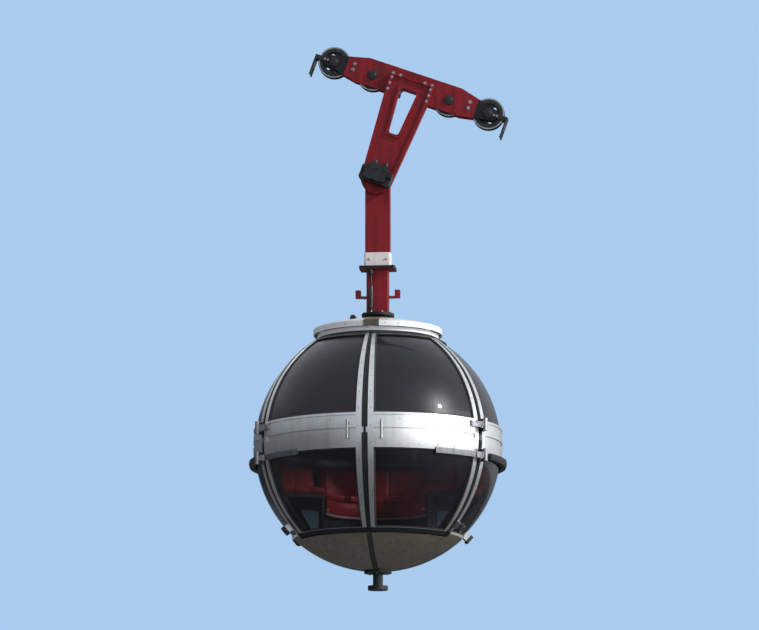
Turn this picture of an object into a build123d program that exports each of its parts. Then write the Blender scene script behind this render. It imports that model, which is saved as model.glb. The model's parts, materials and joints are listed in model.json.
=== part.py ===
from build123d import *
from math import asin, cos, degrees, radians, sin, sqrt, tan
import os

os.makedirs("parts", exist_ok=True)

# Frame: the origin is on the track rope's axis, below the middle of the carriage.
# X runs level along the line, downhill, -Y is the door side and Z is up.
# All lengths are in millimetres and all angles in degrees.

# The line and what it carries
ROPE_SLOPE = 20.0          # fall of the rope at rest, downhill towards +X
TRACK_ROPE_RADIUS = 22.0
HAUL_ROPE_RADIUS = 14.0
PIVOT_DROP = 675.0         # from the track rope to the hanger's pivot, square to the rope
HANGER_LENGTH = 2190.0     # from the pivot down to the middle of the sphere

# The shell, as a radius and the depths below it
SPHERE_RADIUS = 1000.0     # the face of the bright trims
INFILL_DEPTH = 9.0         # the strips between the trims
GLAZING_DEPTH = 14.0
GLAZING_THICKNESS = 6.0
LEAF_DEPTH = 26.0          # how deep a door leaf's frame is
REBATE_GAP = 6.0           # between a closed leaf and the post behind it
RIB_DEPTH = 40.0           # the rib's inner web, behind the rebate

# Where the shell's parts meet, as latitudes, and the gaps between them
CROWN_LATITUDE = 60.7      # underside of the crown ring
SILL_LATITUDE = -50.0      # top of the floor pan
BAND_HALF_HEIGHT = 138.0
DOOR_GAP = 8.0             # shut line round each leaf
RAIL_HEIGHT = 32.0         # the rails over and under each pane
RIB_SPACING = 60.0
RIB_HALF_ANGLE = 4.0
TRIM_ANGLE = 2.6           # width of one bright trim
BAND_LIP = 6.0
BAND_LIP_HEIGHT = 18.0
BAND_GROOVE_HEIGHT = 36.0
BAND_GROOVE_DEPTH = 10.0

# Door hinges and handles
HINGE_ANGLE = RIB_SPACING
HINGE_STANDOFF = 46.0      # from the shell to the pin's axis
HINGE_PIN_RADIUS = 9.0
HINGE_BARREL_RADIUS = 19.0
HINGE_KNUCKLE_HEIGHT = 44.0
POST_KNUCKLE_HEIGHT = 26.0
RUNNING_CLEARANCE = 0.06   # radial, between a pin and what turns on it
KNUCKLE_GAP = 1.0
LOW_HINGE_DROP = 8.0       # below the band's lower edge
HIGH_HINGE_DROP = 42.0     # below the band's upper edge
STRAP_ANGLE = 27.0
SHORT_STRAP_ANGLE = 7.0
STRAP_HEIGHT = 48.0
STRAP_THICKNESS = 14.0
HANDLE_ANGLE = 7.5
HANDLE_LENGTH = 150.0
HANDLE_STANDOFF = 34.0
HANDLE_RADIUS = 9.0

# Crown, roof and floor
CROWN_RING_WIDTH = 160.0
CROWN_RING_HEIGHT = 33.0
CEILING_THICKNESS = 8.0
SPOKE_WIDTH = 50.0
SPOKE_RISE = 52.0          # how much higher a spoke's underside is at the hub
CAP_OVERHANG = 30.0
CAP_SKIRT = 45.0
CAP_RISE = 85.0
CAP_THICKNESS = 8.0
HUB_RADIUS = 110.0
HUB_RISE = 6.0             # of the boss above the cap
PAN_THICKNESS = 10.0
PAN_FLANGE = 24.0
PAN_FLANGE_WIDTH = 163.0
DECK_CLEARANCE = 6.0
DECK_THICKNESS = 18.0

# Inside
SEAT_BOARD_TOP = -400.0
SEAT_BOARD_THICKNESS = 30.0
SEAT_NOSE = 25.0
RISER_INSET = 43.0
RISER_THICKNESS = 20.0
BENCH_START = 63.0
SEAT_ANGLE = 80.0
CUSHION_THICKNESS = 62.0
CUSHION_GAP_ANGLE = 1.2
CUSHION_CLEARANCE = 1.5
BACK_PAD_THICKNESS = 45.0
BACK_PAD_RISE = 12.0       # of its lower edge above the seat cushion
BACK_PAD_HEIGHT = 265.0
GRAB_RAIL_RADIUS = 16.0
GRAB_RAIL_INSET = 108.0
GRAB_RAIL_REACH = 280.0
GRAB_RAIL_ANGLE = 62.0
RAIL_FOOT_INSET = 30.0

# Outside fittings
BUMPER_DEPTH = 40.0
BUMPER_ANGLE = 24.0
SHOE_LATITUDE = -42.0
SHOE_ANGLES = (62.3, 117.7, 242.3, 297.7)
SHOE_WIDTH = 42.0
SHOE_HEIGHT = 64.0
SHOE_REACH = 50.0
SHOE_PAD_WIDTH = 52.0
SHOE_PAD_HEIGHT = 76.0
SHOE_PAD_THICKNESS = 22.0
GUIDE_STEM_RADIUS = 40.0
GUIDE_FOOT_RADIUS = 80.0
GUIDE_FOOT_HEIGHT = 34.0
GUIDE_LENGTH = 150.0
GUIDE_FLANGE_RADIUS = 110.0
GUIDE_FLANGE_THICKNESS = 16.0
LEVER_PLACE = -200.0
LEVER_BRACKET_WIDTH = 50.0
LEVER_BRACKET_DEPTH = 40.0
LEVER_HEIGHT = 34.0
LEVER_ROLLER_RADIUS = 22.0
LEVER_ROLLER_WIDTH = 26.0

# Hanger
DAMPER_RADIUS = 26.0
DAMPER_HEIGHT = 22.0
DAMPER_OFFSET = 78.0
FOOT_RADIUS = 132.0
FOOT_THICKNESS = 22.0
KNUCKLE_WIDTH = 180.0
KNUCKLE_LENGTH = 360.0
KNUCKLE_FLANGE = 26.0
KNUCKLE_FLANGE_MARGIN = 45.0
KNUCKLE_DAMPER_RADIUS = 20.0
KNUCKLE_DAMPER_OFFSET = 50.0
KNUCKLE_DAMPER_GAP = 3.0
COLLAR_HEIGHT = 115.0
COLLAR_OVERHANG = 9.0
ARM_WIDTH = 200.0
ARM_WALL = 12.0
ARM_FORK_CLEARANCE = 7.0
EYE_SOLID_HEIGHT = 120.0   # of arm left solid below the pivot
CABLE_EYE_RADIUS = 13.0
CABLE_EYE_DROP = 190.0     # below the knuckle's flange
CABLE_EYE_SIZE = 50.0
CABLE_EYE_REACH = 180.0
CABLE_EYE_LENGTH = 42.0
CABLE_ARM_THICKNESS = 14.0

# Carriage, in the rope's own directions
WHEEL_RADIUS = 130.0
WHEEL_TREAD_RADIUS = 104.0
WHEEL_WIDTH = 58.0
WHEEL_WEB = 12.0
WHEEL_HUB_RADIUS = 40.0
WHEEL_RIM_THICKNESS = 16.0
WHEEL_HOLE_RADIUS = 15.0
GROOVE_CLEARANCE = 1.5
WHEEL_OUTER_PLACE = 670.0
WHEEL_INNER_PLACE = 330.0
AXLE_RADIUS = 20.0
AXLE_NUT_RADIUS = 34.0
AXLE_NUT_HEIGHT = 14.0
CHEEK_THICKNESS = 14.0
CHEEK_CLEARANCE = 6.0      # between a wheel's side and the cheek
CHEEK_LOW = 28.0           # above the rope's axis
CHEEK_HIGH = 252.0
CHEEK_HALF_LOW = 450.0
CHEEK_HALF_HIGH = 400.0
END_ARM_RADIUS = 46.0
END_ARM_REACH = 40.0       # past the outer axle, to carry the guard
MIDDLE_BLOCK_LENGTH = 300.0
MIDDLE_BLOCK_HEIGHT = 190.0
CROSS_BLOCK_LENGTH = 44.0
CROSS_BLOCK_HEIGHT = 90.0
GUARD_CLEARANCE = 20.0     # in front of an end wheel
GUARD_THICKNESS = 12.0
GUARD_BAR = 34.0
GUARD_BAR_THICKNESS = 8.0
GUARD_PLATE_HEIGHT = 176.0
GUARD_PLATE_LOW = -33.0
GUARD_NOTCH_MARGIN = 8.0

# Fork, pin and grip
FORK_DEPTH = 48.0
FORK_FOOT_RADIUS = 130.0
FORK_TOP_WIDTH = 370.0
FORK_TOP = 200.0
FORK_FLANGE = 26.0         # left standing round the recess in its face
FORK_RECESS = 16.0
WINDOW_DROP = 290.0        # from the rope's axis down to the foot of the window
WINDOW_RISE = 95.0         # from the rope's axis up to its head
WINDOW_LOW_WIDTH = 84.0
WINDOW_HIGH_WIDTH = 150.0
WINDOW_FILLET = 24.0
WINDOW_RIM = 20.0
PIN_RADIUS = 40.0
PIN_HEAD_RADIUS = 66.0
PIN_HEAD_THICKNESS = 16.0
PIN_HEAD_CLEARANCE = 5.0
GRIP_DEPTH = 103.0         # from the fork's face to the haul rope's axis
GRIP_LENGTH = 260.0
GRIP_HEIGHT = 120.0
JAW_LENGTH = 182.0
JAW_THICKNESS = 44.0
JAW_LIP_GAP = 6.0
JAW_HOOK_HEIGHT = 24.0
JAW_HOOK_LENGTH = 130.0

# What follows from those
INFILL_RADIUS = SPHERE_RADIUS - INFILL_DEPTH
GLAZING_OUT = SPHERE_RADIUS - GLAZING_DEPTH
GLAZING_IN = GLAZING_OUT - GLAZING_THICKNESS
LEAF_IN = SPHERE_RADIUS - LEAF_DEPTH
REBATE_RADIUS = LEAF_IN - REBATE_GAP
RIB_IN = REBATE_RADIUS - RIB_DEPTH
HINGE_AXIS_RADIUS = SPHERE_RADIUS + HINGE_STANDOFF
CROWN_HEIGHT = SPHERE_RADIUS * sin(radians(CROWN_LATITUDE))
SILL_HEIGHT = SPHERE_RADIUS * sin(radians(SILL_LATITUDE))
GAP_HALF_ANGLE = RIB_HALF_ANGLE - TRIM_ANGLE
GLASS_HIGH = CROWN_HEIGHT - DOOR_GAP - RAIL_HEIGHT
GLASS_LOW = SILL_HEIGHT + DOOR_GAP + RAIL_HEIGHT
HINGE_HEIGHTS = (-BAND_HALF_HEIGHT - LOW_HINGE_DROP, BAND_HALF_HEIGHT - HIGH_HINGE_DROP)
CHEEK_IN = WHEEL_WIDTH / 2 + CHEEK_CLEARANCE
CHEEK_OUT = CHEEK_IN + CHEEK_THICKNESS
WHEEL_LINE = TRACK_ROPE_RADIUS + WHEEL_TREAD_RADIUS
ARM_HALF_DEPTH = CHEEK_OUT - ARM_FORK_CLEARANCE
FORK_FACE = -CHEEK_OUT - FORK_DEPTH

slope = radians(ROPE_SLOPE)
PIVOT = (-PIVOT_DROP * sin(slope), 0.0, -PIVOT_DROP * cos(slope))
CABIN = (PIVOT[0], 0.0, PIVOT[2] - HANGER_LENGTH)
CABIN_AXIS = Axis(CABIN, (0, 0, 1))
MIRROR = Plane(origin=CABIN, z_dir=(1, 0, 0))
FIXED_BAYS = (60.0, 120.0, 180.0, 240.0)


def cabin_level(height):
    """A level plane at a height above the sphere's middle."""
    return Plane(origin=(CABIN[0], CABIN[1], CABIN[2] + height), x_dir=(1, 0, 0), z_dir=(0, 0, 1))


def meridian(angle):
    """The upright half plane at an angle from the door side, its x outwards and its y up."""
    a = radians(angle)
    return Plane(origin=CABIN, x_dir=(sin(a), -cos(a), 0), z_dir=(-cos(a), -sin(a), 0))


def outward(angle, latitude, radius):
    """A plane facing outwards from the sphere at an angle and a latitude."""
    a = radians(angle)
    b = radians(latitude)
    out = (sin(a) * cos(b), -cos(a) * cos(b), sin(b))
    place = (CABIN[0] + radius * out[0], radius * out[1], CABIN[2] + radius * out[2])
    return Plane(origin=place, x_dir=(cos(a), sin(a), 0), z_dir=out)


def on_rope(across):
    """The plane of the rope's length and its normal, at a place across the line."""
    return Plane(origin=(0, across, 0), x_dir=(cos(slope), 0, -sin(slope)), z_dir=(0, -1, 0))


def at_axle(place, across):
    """The same plane with its origin on an axle."""
    x = place * cos(slope) + WHEEL_LINE * sin(slope)
    z = WHEEL_LINE * cos(slope) - place * sin(slope)
    return Plane(origin=(x, across, z), x_dir=(cos(slope), 0, -sin(slope)), z_dir=(0, -1, 0))


def across_rope(along, way):
    """The plane square to the rope at a place along it, facing along the rope, its y up."""
    return Plane(origin=(along * cos(slope), 0, -along * sin(slope)), x_dir=(0, way, 0),
                 z_dir=(way * cos(slope), 0, -way * sin(slope)))


def at_pivot(across):
    """The plane seen from the door side, with its origin at the pivot."""
    return Plane(origin=(PIVOT[0], across, PIVOT[2]), x_dir=(1, 0, 0), z_dir=(0, -1, 0))


def level_radius(radius, height):
    return sqrt(radius * radius - height * height)


def latitude(radius, height):
    return degrees(asin(height / radius))


def lune(start, end, low, high, inner, outer, start_cut=0.0, end_cut=0.0):
    """Part of a spherical shell between two meridians and two heights.

    The cuts are slices taken off each end, parallel to its meridian."""
    with BuildPart() as shell:
        with BuildSketch(meridian(start)):
            with BuildLine():
                Line((level_radius(inner, low), low), (level_radius(outer, low), low))
                CenterArc((0, 0), outer, latitude(outer, low), latitude(outer, high) - latitude(outer, low))
                Line((level_radius(outer, high), high), (level_radius(inner, high), high))
                CenterArc((0, 0), inner, latitude(inner, high), latitude(inner, low) - latitude(inner, high))
            make_face()
        revolve(axis=CABIN_AXIS, revolution_arc=end - start)
        if start_cut > 0:
            with BuildSketch(meridian(start)):
                Rectangle(2 * outer, 4 * outer, align=(Align.MIN, Align.CENTER))
            extrude(amount=-start_cut, mode=Mode.SUBTRACT)
        if end_cut > 0:
            with BuildSketch(meridian(end)):
                Rectangle(2 * outer, 4 * outer, align=(Align.MIN, Align.CENTER))
            extrude(amount=end_cut, mode=Mode.SUBTRACT)
    return shell.part


def save(part, name):
    part.label = name
    export_step(part, "parts/" + name + ".step")


def save_pair(part, name):
    """Writes a door's piece for the right leaf and its mirror image for the left."""
    save(part, name.replace("SIDE", "right"))
    with BuildPart() as other:
        mirror(part, about=MIRROR)
    save(other.part, name.replace("SIDE", "left"))


# Ribs: an inner web, and on it two bright trims with a strip between them. A door post
# carries only the trim away from its door.
RIBS = (
    # name, angle, sides on which it carries a trim
    ("rib_right_post", RIB_SPACING, (1,)),
    ("rib_right_rear", 2 * RIB_SPACING, (-1, 1)),
    ("rib_rear", 3 * RIB_SPACING, (-1, 1)),
    ("rib_left_rear", 4 * RIB_SPACING, (-1, 1)),
    ("rib_left_post", 5 * RIB_SPACING, (-1,)),
)
for rib_name, rib_angle, trim_sides in RIBS:
    with BuildPart() as rib:
        add(lune(rib_angle - RIB_HALF_ANGLE, rib_angle + RIB_HALF_ANGLE,
                 SILL_HEIGHT, CROWN_HEIGHT, RIB_IN, REBATE_RADIUS))
        for side in trim_sides:
            trim_edges = sorted((side * RIB_HALF_ANGLE, side * GAP_HALF_ANGLE))
            add(lune(rib_angle + trim_edges[0], rib_angle + trim_edges[1],
                     SILL_HEIGHT, CROWN_HEIGHT, REBATE_RADIUS, SPHERE_RADIUS))
            gap_edges = sorted((0.0, side * GAP_HALF_ANGLE))
            add(lune(rib_angle + gap_edges[0], rib_angle + gap_edges[1],
                     SILL_HEIGHT, CROWN_HEIGHT, REBATE_RADIUS, INFILL_RADIUS))
    save(rib.part, rib_name)


def band_length(bay):
    """The equator band between two ribs, with a lip along its top and a groove along its middle."""
    start = bay + RIB_HALF_ANGLE
    end = bay + RIB_SPACING - RIB_HALF_ANGLE
    with BuildPart() as piece:
        add(lune(start, end, -BAND_HALF_HEIGHT, BAND_HALF_HEIGHT, LEAF_IN, SPHERE_RADIUS))
        add(lune(start, end, BAND_HALF_HEIGHT - BAND_LIP_HEIGHT, BAND_HALF_HEIGHT,
                 SPHERE_RADIUS, SPHERE_RADIUS + BAND_LIP))
        add(lune(start - 1, end + 1, -BAND_GROOVE_HEIGHT / 2, BAND_GROOVE_HEIGHT / 2,
                 SPHERE_RADIUS - BAND_GROOVE_DEPTH, SPHERE_RADIUS + BAND_LIP), mode=Mode.SUBTRACT)
    return piece.part


def bay_shell(bay, low, high, inner, outer):
    """A piece of shell that fills one bay from rib to rib."""
    return lune(bay + RIB_HALF_ANGLE, bay + RIB_SPACING - RIB_HALF_ANGLE, low, high, inner, outer)


with BuildPart() as band_fixed:
    for bay in FIXED_BAYS:
        add(band_length(bay))
save(band_fixed.part, "band_fixed")

with BuildPart() as glass_upper:
    for bay in FIXED_BAYS:
        add(bay_shell(bay, BAND_HALF_HEIGHT, GLASS_HIGH, GLAZING_IN, GLAZING_OUT))
save(glass_upper.part, "glass_upper")

with BuildPart() as glass_lower:
    for bay in FIXED_BAYS:
        add(bay_shell(bay, GLASS_LOW, -BAND_HALF_HEIGHT, GLAZING_IN, GLAZING_OUT))
save(glass_lower.part, "glass_lower")

# Crown: a ring with a rail over each fixed pane, six spokes and the boss the hanger stands on,
# under a shallow cap that stands proud of the glazing
RING_OUT = level_radius(SPHERE_RADIUS, CROWN_HEIGHT)
RING_IN = RING_OUT - CROWN_RING_WIDTH
RING_TOP = CROWN_HEIGHT + CROWN_RING_HEIGHT
CAP_OUT = RING_OUT + CAP_OVERHANG
CAP_IN = CAP_OUT - CAP_THICKNESS
CAP_EDGE_TOP = RING_TOP + CAP_SKIRT
CAP_TOP = CAP_EDGE_TOP + CAP_RISE
CAP_RADIUS = (CAP_OUT ** 2 + CAP_RISE ** 2) / (2 * CAP_RISE)
CAP_MIDDLE = CAP_TOP - CAP_RADIUS
CAP_UNDER_RADIUS = CAP_RADIUS - CAP_THICKNESS
HUB_TOP = CAP_TOP + HUB_RISE
HUB_LOW = CROWN_HEIGHT + SPOKE_RISE


def cap_underside(place):
    """Height of the cap's inner face at a distance from the axis."""
    return CAP_MIDDLE + level_radius(CAP_UNDER_RADIUS, place)


with BuildPart() as crown_frame:
    with BuildSketch(cabin_level(CROWN_HEIGHT)):
        Circle(RING_OUT)
        Circle(RING_IN, mode=Mode.SUBTRACT)
    extrude(amount=CROWN_RING_HEIGHT)
    for spoke in range(6):
        with BuildSketch(meridian(spoke * RIB_SPACING).offset(-SPOKE_WIDTH / 2)):
            with BuildLine():
                Polyline((0, CAP_TOP), (0, HUB_LOW), (RING_IN, CROWN_HEIGHT + CEILING_THICKNESS),
                         (RING_OUT, RING_TOP), (CAP_IN, RING_TOP), (CAP_IN, CAP_TOP), (0, CAP_TOP))
            make_face()
        extrude(amount=SPOKE_WIDTH)
    with Locations((CABIN[0], CABIN[1], CABIN[2] + CAP_MIDDLE)):
        Sphere(CAP_UNDER_RADIUS, mode=Mode.INTERSECT)
    with BuildSketch(cabin_level(CROWN_HEIGHT - SPHERE_RADIUS)):
        Circle(CAP_IN)
    extrude(amount=2 * SPHERE_RADIUS, mode=Mode.INTERSECT)
    with BuildSketch(cabin_level(HUB_LOW)):
        Circle(HUB_RADIUS)
    extrude(amount=HUB_TOP - HUB_LOW)
    for bay in FIXED_BAYS:
        add(bay_shell(bay, GLASS_HIGH, CROWN_HEIGHT, LEAF_IN, SPHERE_RADIUS))
save(crown_frame.part, "crown_frame")

with BuildPart() as ceiling_panel:
    with BuildSketch(cabin_level(CROWN_HEIGHT)):
        Circle(RING_IN)
    extrude(amount=CEILING_THICKNESS)
save(ceiling_panel.part, "ceiling_panel")

with BuildPart() as roof_cap:
    with BuildSketch(meridian(0)):
        cap_edge = degrees(asin((CAP_EDGE_TOP - CAP_MIDDLE) / CAP_RADIUS))
        under_end = degrees(asin((cap_underside(CAP_IN) - CAP_MIDDLE) / CAP_UNDER_RADIUS))
        with BuildLine():
            CenterArc((0, CAP_MIDDLE), CAP_RADIUS, 90, cap_edge - 90)
            Polyline((CAP_OUT, CAP_EDGE_TOP), (CAP_OUT, RING_TOP), (CAP_IN, RING_TOP),
                     (CAP_IN, cap_underside(CAP_IN)))
            CenterArc((0, CAP_MIDDLE), CAP_UNDER_RADIUS, under_end, 90 - under_end)
            Line((0, cap_underside(0)), (0, CAP_TOP))
        make_face()
    revolve(axis=CABIN_AXIS)
    with BuildSketch(cabin_level(CROWN_HEIGHT)):
        Circle(HUB_RADIUS)
    extrude(amount=SPHERE_RADIUS, mode=Mode.SUBTRACT)
save(roof_cap.part, "roof_cap")

# Floor pan with its inward flange and a rail under each fixed pane, and the deck that lies on it
PAN_IN = SPHERE_RADIUS - PAN_THICKNESS
PAN_FLANGE_LOW = SILL_HEIGHT - PAN_FLANGE
SILL_RADIUS = level_radius(SPHERE_RADIUS, SILL_HEIGHT)
PAN_FLANGE_RADIUS = SILL_RADIUS - PAN_FLANGE_WIDTH
with BuildPart() as floor_pan:
    with BuildSketch(meridian(0)):
        with BuildLine():
            Line((0, -SPHERE_RADIUS), (0, -PAN_IN))
            CenterArc((0, 0), PAN_IN, -90, latitude(PAN_IN, PAN_FLANGE_LOW) + 90)
            Polyline((level_radius(PAN_IN, PAN_FLANGE_LOW), PAN_FLANGE_LOW),
                     (PAN_FLANGE_RADIUS, PAN_FLANGE_LOW),
                     (PAN_FLANGE_RADIUS, SILL_HEIGHT), (SILL_RADIUS, SILL_HEIGHT))
            CenterArc((0, 0), SPHERE_RADIUS, SILL_LATITUDE, -90 - SILL_LATITUDE)
        make_face()
    revolve(axis=CABIN_AXIS)
    for bay in FIXED_BAYS:
        add(bay_shell(bay, SILL_HEIGHT, GLASS_LOW, LEAF_IN, SPHERE_RADIUS))
save(floor_pan.part, "floor_pan")

DECK_RADIUS = level_radius(RIB_IN, SILL_HEIGHT) - DECK_CLEARANCE
DECK_TOP = SILL_HEIGHT + DECK_THICKNESS
with BuildPart() as floor_deck:
    with BuildSketch(cabin_level(SILL_HEIGHT)):
        Circle(DECK_RADIUS)
    extrude(amount=DECK_THICKNESS)
save(floor_deck.part, "floor_deck")

# Bench: a seat board and a riser in one moulding, round the back of the cabin
RISER_OUT = DECK_RADIUS - RISER_INSET
RISER_IN = RISER_OUT - RISER_THICKNESS
SEAT_FRONT = RISER_IN - SEAT_NOSE
SEAT_BOARD_LOW = SEAT_BOARD_TOP - SEAT_BOARD_THICKNESS
with BuildPart() as bench:
    with BuildSketch(meridian(BENCH_START)):
        board_top = latitude(RIB_IN, SEAT_BOARD_TOP)
        board_low = latitude(RIB_IN, SEAT_BOARD_LOW)
        with BuildLine():
            Polyline((SEAT_FRONT, SEAT_BOARD_LOW), (SEAT_FRONT, SEAT_BOARD_TOP),
                     (level_radius(RIB_IN, SEAT_BOARD_TOP), SEAT_BOARD_TOP))
            CenterArc((0, 0), RIB_IN, board_top, board_low - board_top)
            Polyline((level_radius(RIB_IN, SEAT_BOARD_LOW), SEAT_BOARD_LOW), (RISER_OUT, SEAT_BOARD_LOW),
                     (RISER_OUT, DECK_TOP), (RISER_IN, DECK_TOP), (RISER_IN, SEAT_BOARD_LOW),
                     (SEAT_FRONT, SEAT_BOARD_LOW))
        make_face()
    revolve(axis=CABIN_AXIS, revolution_arc=360 - 2 * BENCH_START)
save(bench.part, "bench")

# Seat cushions and back pads, each over two places
CUSHION_OUT = RIB_IN - CUSHION_CLEARANCE
CUSHION_LOW = SEAT_BOARD_TOP + CUSHION_CLEARANCE
CUSHION_TOP = CUSHION_LOW + CUSHION_THICKNESS
BACK_PAD_LOW = CUSHION_TOP + BACK_PAD_RISE
for cushion_name, cushion_start in (("right", 60.0), ("rear", 140.0), ("left", 220.0)):
    first = max(cushion_start, BENCH_START) + CUSHION_GAP_ANGLE
    last = min(cushion_start + SEAT_ANGLE, 360 - BENCH_START) - CUSHION_GAP_ANGLE
    with BuildPart() as seat_cushion:
        with BuildSketch(meridian(first)):
            low_edge = latitude(CUSHION_OUT, CUSHION_LOW)
            high_edge = latitude(CUSHION_OUT, CUSHION_TOP)
            with BuildLine():
                Polyline((level_radius(CUSHION_OUT, CUSHION_TOP), CUSHION_TOP), (SEAT_FRONT, CUSHION_TOP),
                         (SEAT_FRONT, CUSHION_LOW), (level_radius(CUSHION_OUT, CUSHION_LOW), CUSHION_LOW))
                CenterArc((0, 0), CUSHION_OUT, low_edge, high_edge - low_edge)
            make_face()
        revolve(axis=CABIN_AXIS, revolution_arc=last - first)
    save(seat_cushion.part, "seat_cushion_" + cushion_name)
    save(lune(first, last, BACK_PAD_LOW, BACK_PAD_LOW + BACK_PAD_HEIGHT,
              CUSHION_OUT - BACK_PAD_THICKNESS, CUSHION_OUT), "back_pad_" + cushion_name)

# Grab rails inside the two door posts
GRAB_RAIL_PLACE = RIB_IN - GRAB_RAIL_INSET
with BuildPart() as grab_rails:
    for rail_angle in (GRAB_RAIL_ANGLE, 360 - GRAB_RAIL_ANGLE):
        a = radians(rail_angle)
        rail_at = (GRAB_RAIL_PLACE * sin(a), -GRAB_RAIL_PLACE * cos(a))
        with BuildSketch(cabin_level(-GRAB_RAIL_REACH)):
            with Locations(rail_at):
                Circle(GRAB_RAIL_RADIUS)
        extrude(amount=2 * GRAB_RAIL_REACH)
        for level in (-GRAB_RAIL_REACH + RAIL_FOOT_INSET, GRAB_RAIL_REACH - RAIL_FOOT_INSET):
            foot_at = (CABIN[0] + rail_at[0], rail_at[1], CABIN[2] + level)
            with BuildSketch(Plane(origin=foot_at, z_dir=(sin(a), -cos(a), 0))):
                Circle(0.7 * GRAB_RAIL_RADIUS)
            extrude(amount=GRAB_RAIL_INSET)
    with Locations(CABIN):
        Sphere(RIB_IN, mode=Mode.INTERSECT)
save(grab_rails.part, "grab_rails")

# End bumpers, level with the low hinges
BUMPER_LOW = HINGE_HEIGHTS[0] - STRAP_HEIGHT / 2
BUMPER_HIGH = HINGE_HEIGHTS[0] + STRAP_HEIGHT / 2
for bumper_name, bumper_angle in (("bumper_downhill", 90.0), ("bumper_uphill", 270.0)):
    save(lune(bumper_angle - BUMPER_ANGLE, bumper_angle + BUMPER_ANGLE, BUMPER_LOW, BUMPER_HIGH,
              SPHERE_RADIUS, SPHERE_RADIUS + BUMPER_DEPTH), bumper_name)

# Guide shoes low on four ribs, and their rubber pads
with BuildPart() as guide_shoes:
    for shoe_angle in SHOE_ANGLES:
        with BuildSketch(outward(shoe_angle, SHOE_LATITUDE, SPHERE_RADIUS - INFILL_DEPTH)):
            Rectangle(SHOE_WIDTH, SHOE_HEIGHT)
        extrude(amount=SHOE_REACH + INFILL_DEPTH, taper=5)
    with Locations(CABIN):
        Sphere(SPHERE_RADIUS, mode=Mode.SUBTRACT)
save(guide_shoes.part, "guide_shoes")

with BuildPart() as guide_pads:
    for shoe_angle in SHOE_ANGLES:
        with BuildSketch(outward(shoe_angle, SHOE_LATITUDE, SPHERE_RADIUS + SHOE_REACH)):
            RectangleRounded(SHOE_PAD_WIDTH, SHOE_PAD_HEIGHT, 10)
        extrude(amount=SHOE_PAD_THICKNESS)
save(guide_pads.part, "guide_pads")

# Guide pin under the floor pan
with BuildPart() as bottom_guide:
    with BuildSketch(meridian(0)):
        flange_rise = level_radius(SPHERE_RADIUS, GUIDE_FLANGE_RADIUS)
        flange_under = -SPHERE_RADIUS - GUIDE_FLANGE_THICKNESS
        guide_bottom = -SPHERE_RADIUS - GUIDE_LENGTH
        foot_top = guide_bottom + GUIDE_FOOT_HEIGHT
        with BuildLine():
            CenterArc((0, 0), SPHERE_RADIUS, -90, 90 - latitude(SPHERE_RADIUS, flange_rise))
            Polyline((GUIDE_FLANGE_RADIUS, -flange_rise), (GUIDE_FLANGE_RADIUS, flange_under),
                     (GUIDE_STEM_RADIUS, flange_under), (GUIDE_STEM_RADIUS, foot_top),
                     (GUIDE_FOOT_RADIUS, foot_top), (GUIDE_FOOT_RADIUS, guide_bottom),
                     (0, guide_bottom), (0, -SPHERE_RADIUS))
        make_face()
    revolve(axis=CABIN_AXIS)
save(bottom_guide.part, "bottom_guide")

# Door lever on the roof: a bracket and its roller
with BuildPart() as roof_lever:
    lever_base = CAP_MIDDLE + level_radius(CAP_RADIUS, LEVER_PLACE)
    with BuildSketch(cabin_level(lever_base - CAP_THICKNESS)):
        with Locations((LEVER_PLACE, 0)):
            Rectangle(LEVER_BRACKET_WIDTH, LEVER_BRACKET_DEPTH)
    extrude(amount=LEVER_HEIGHT + CAP_THICKNESS)
    roller_at = (CABIN[0] + LEVER_PLACE, LEVER_BRACKET_DEPTH / 2, CABIN[2] + lever_base + LEVER_HEIGHT)
    with BuildSketch(Plane(origin=roller_at, z_dir=(0, -1, 0))):
        Circle(LEVER_BRACKET_WIDTH / 2)
    extrude(amount=LEVER_BRACKET_DEPTH)
    with BuildSketch(Plane(origin=(roller_at[0], -LEVER_BRACKET_DEPTH / 2, roller_at[2]), z_dir=(0, -1, 0))):
        Circle(LEVER_ROLLER_RADIUS)
    extrude(amount=LEVER_ROLLER_WIDTH)
    with Locations((CABIN[0], CABIN[1], CABIN[2] + CAP_MIDDLE)):
        Sphere(CAP_RADIUS, mode=Mode.SUBTRACT)
save(roof_lever.part, "roof_lever")

# Door leaves, from the meeting line to the hinge post
LEAF_LOW = SILL_HEIGHT + DOOR_GAP
LEAF_HIGH = CROWN_HEIGHT - DOOR_GAP
with BuildPart() as leaf_frame:
    add(lune(0, GAP_HALF_ANGLE, LEAF_LOW, LEAF_HIGH, LEAF_IN, INFILL_RADIUS, start_cut=DOOR_GAP / 2))
    add(lune(GAP_HALF_ANGLE, RIB_HALF_ANGLE, LEAF_LOW, LEAF_HIGH, LEAF_IN, SPHERE_RADIUS))
    add(lune(RIB_SPACING - RIB_HALF_ANGLE, RIB_SPACING - GAP_HALF_ANGLE, LEAF_LOW, LEAF_HIGH,
             LEAF_IN, SPHERE_RADIUS))
    add(lune(RIB_SPACING - GAP_HALF_ANGLE, RIB_SPACING, LEAF_LOW, LEAF_HIGH,
             LEAF_IN, INFILL_RADIUS, end_cut=DOOR_GAP))
    add(bay_shell(0, LEAF_LOW, GLASS_LOW, LEAF_IN, SPHERE_RADIUS))
    add(bay_shell(0, GLASS_HIGH, LEAF_HIGH, LEAF_IN, SPHERE_RADIUS))
save_pair(leaf_frame.part, "door_SIDE_frame")

save_pair(band_length(0), "door_SIDE_band")

with BuildPart() as leaf_glass:
    add(bay_shell(0, GLASS_LOW, -BAND_HALF_HEIGHT, GLAZING_IN, GLAZING_OUT))
    add(bay_shell(0, BAND_HALF_HEIGHT, GLASS_HIGH, GLAZING_IN, GLAZING_OUT))
save_pair(leaf_glass.part, "door_SIDE_glass")

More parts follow.
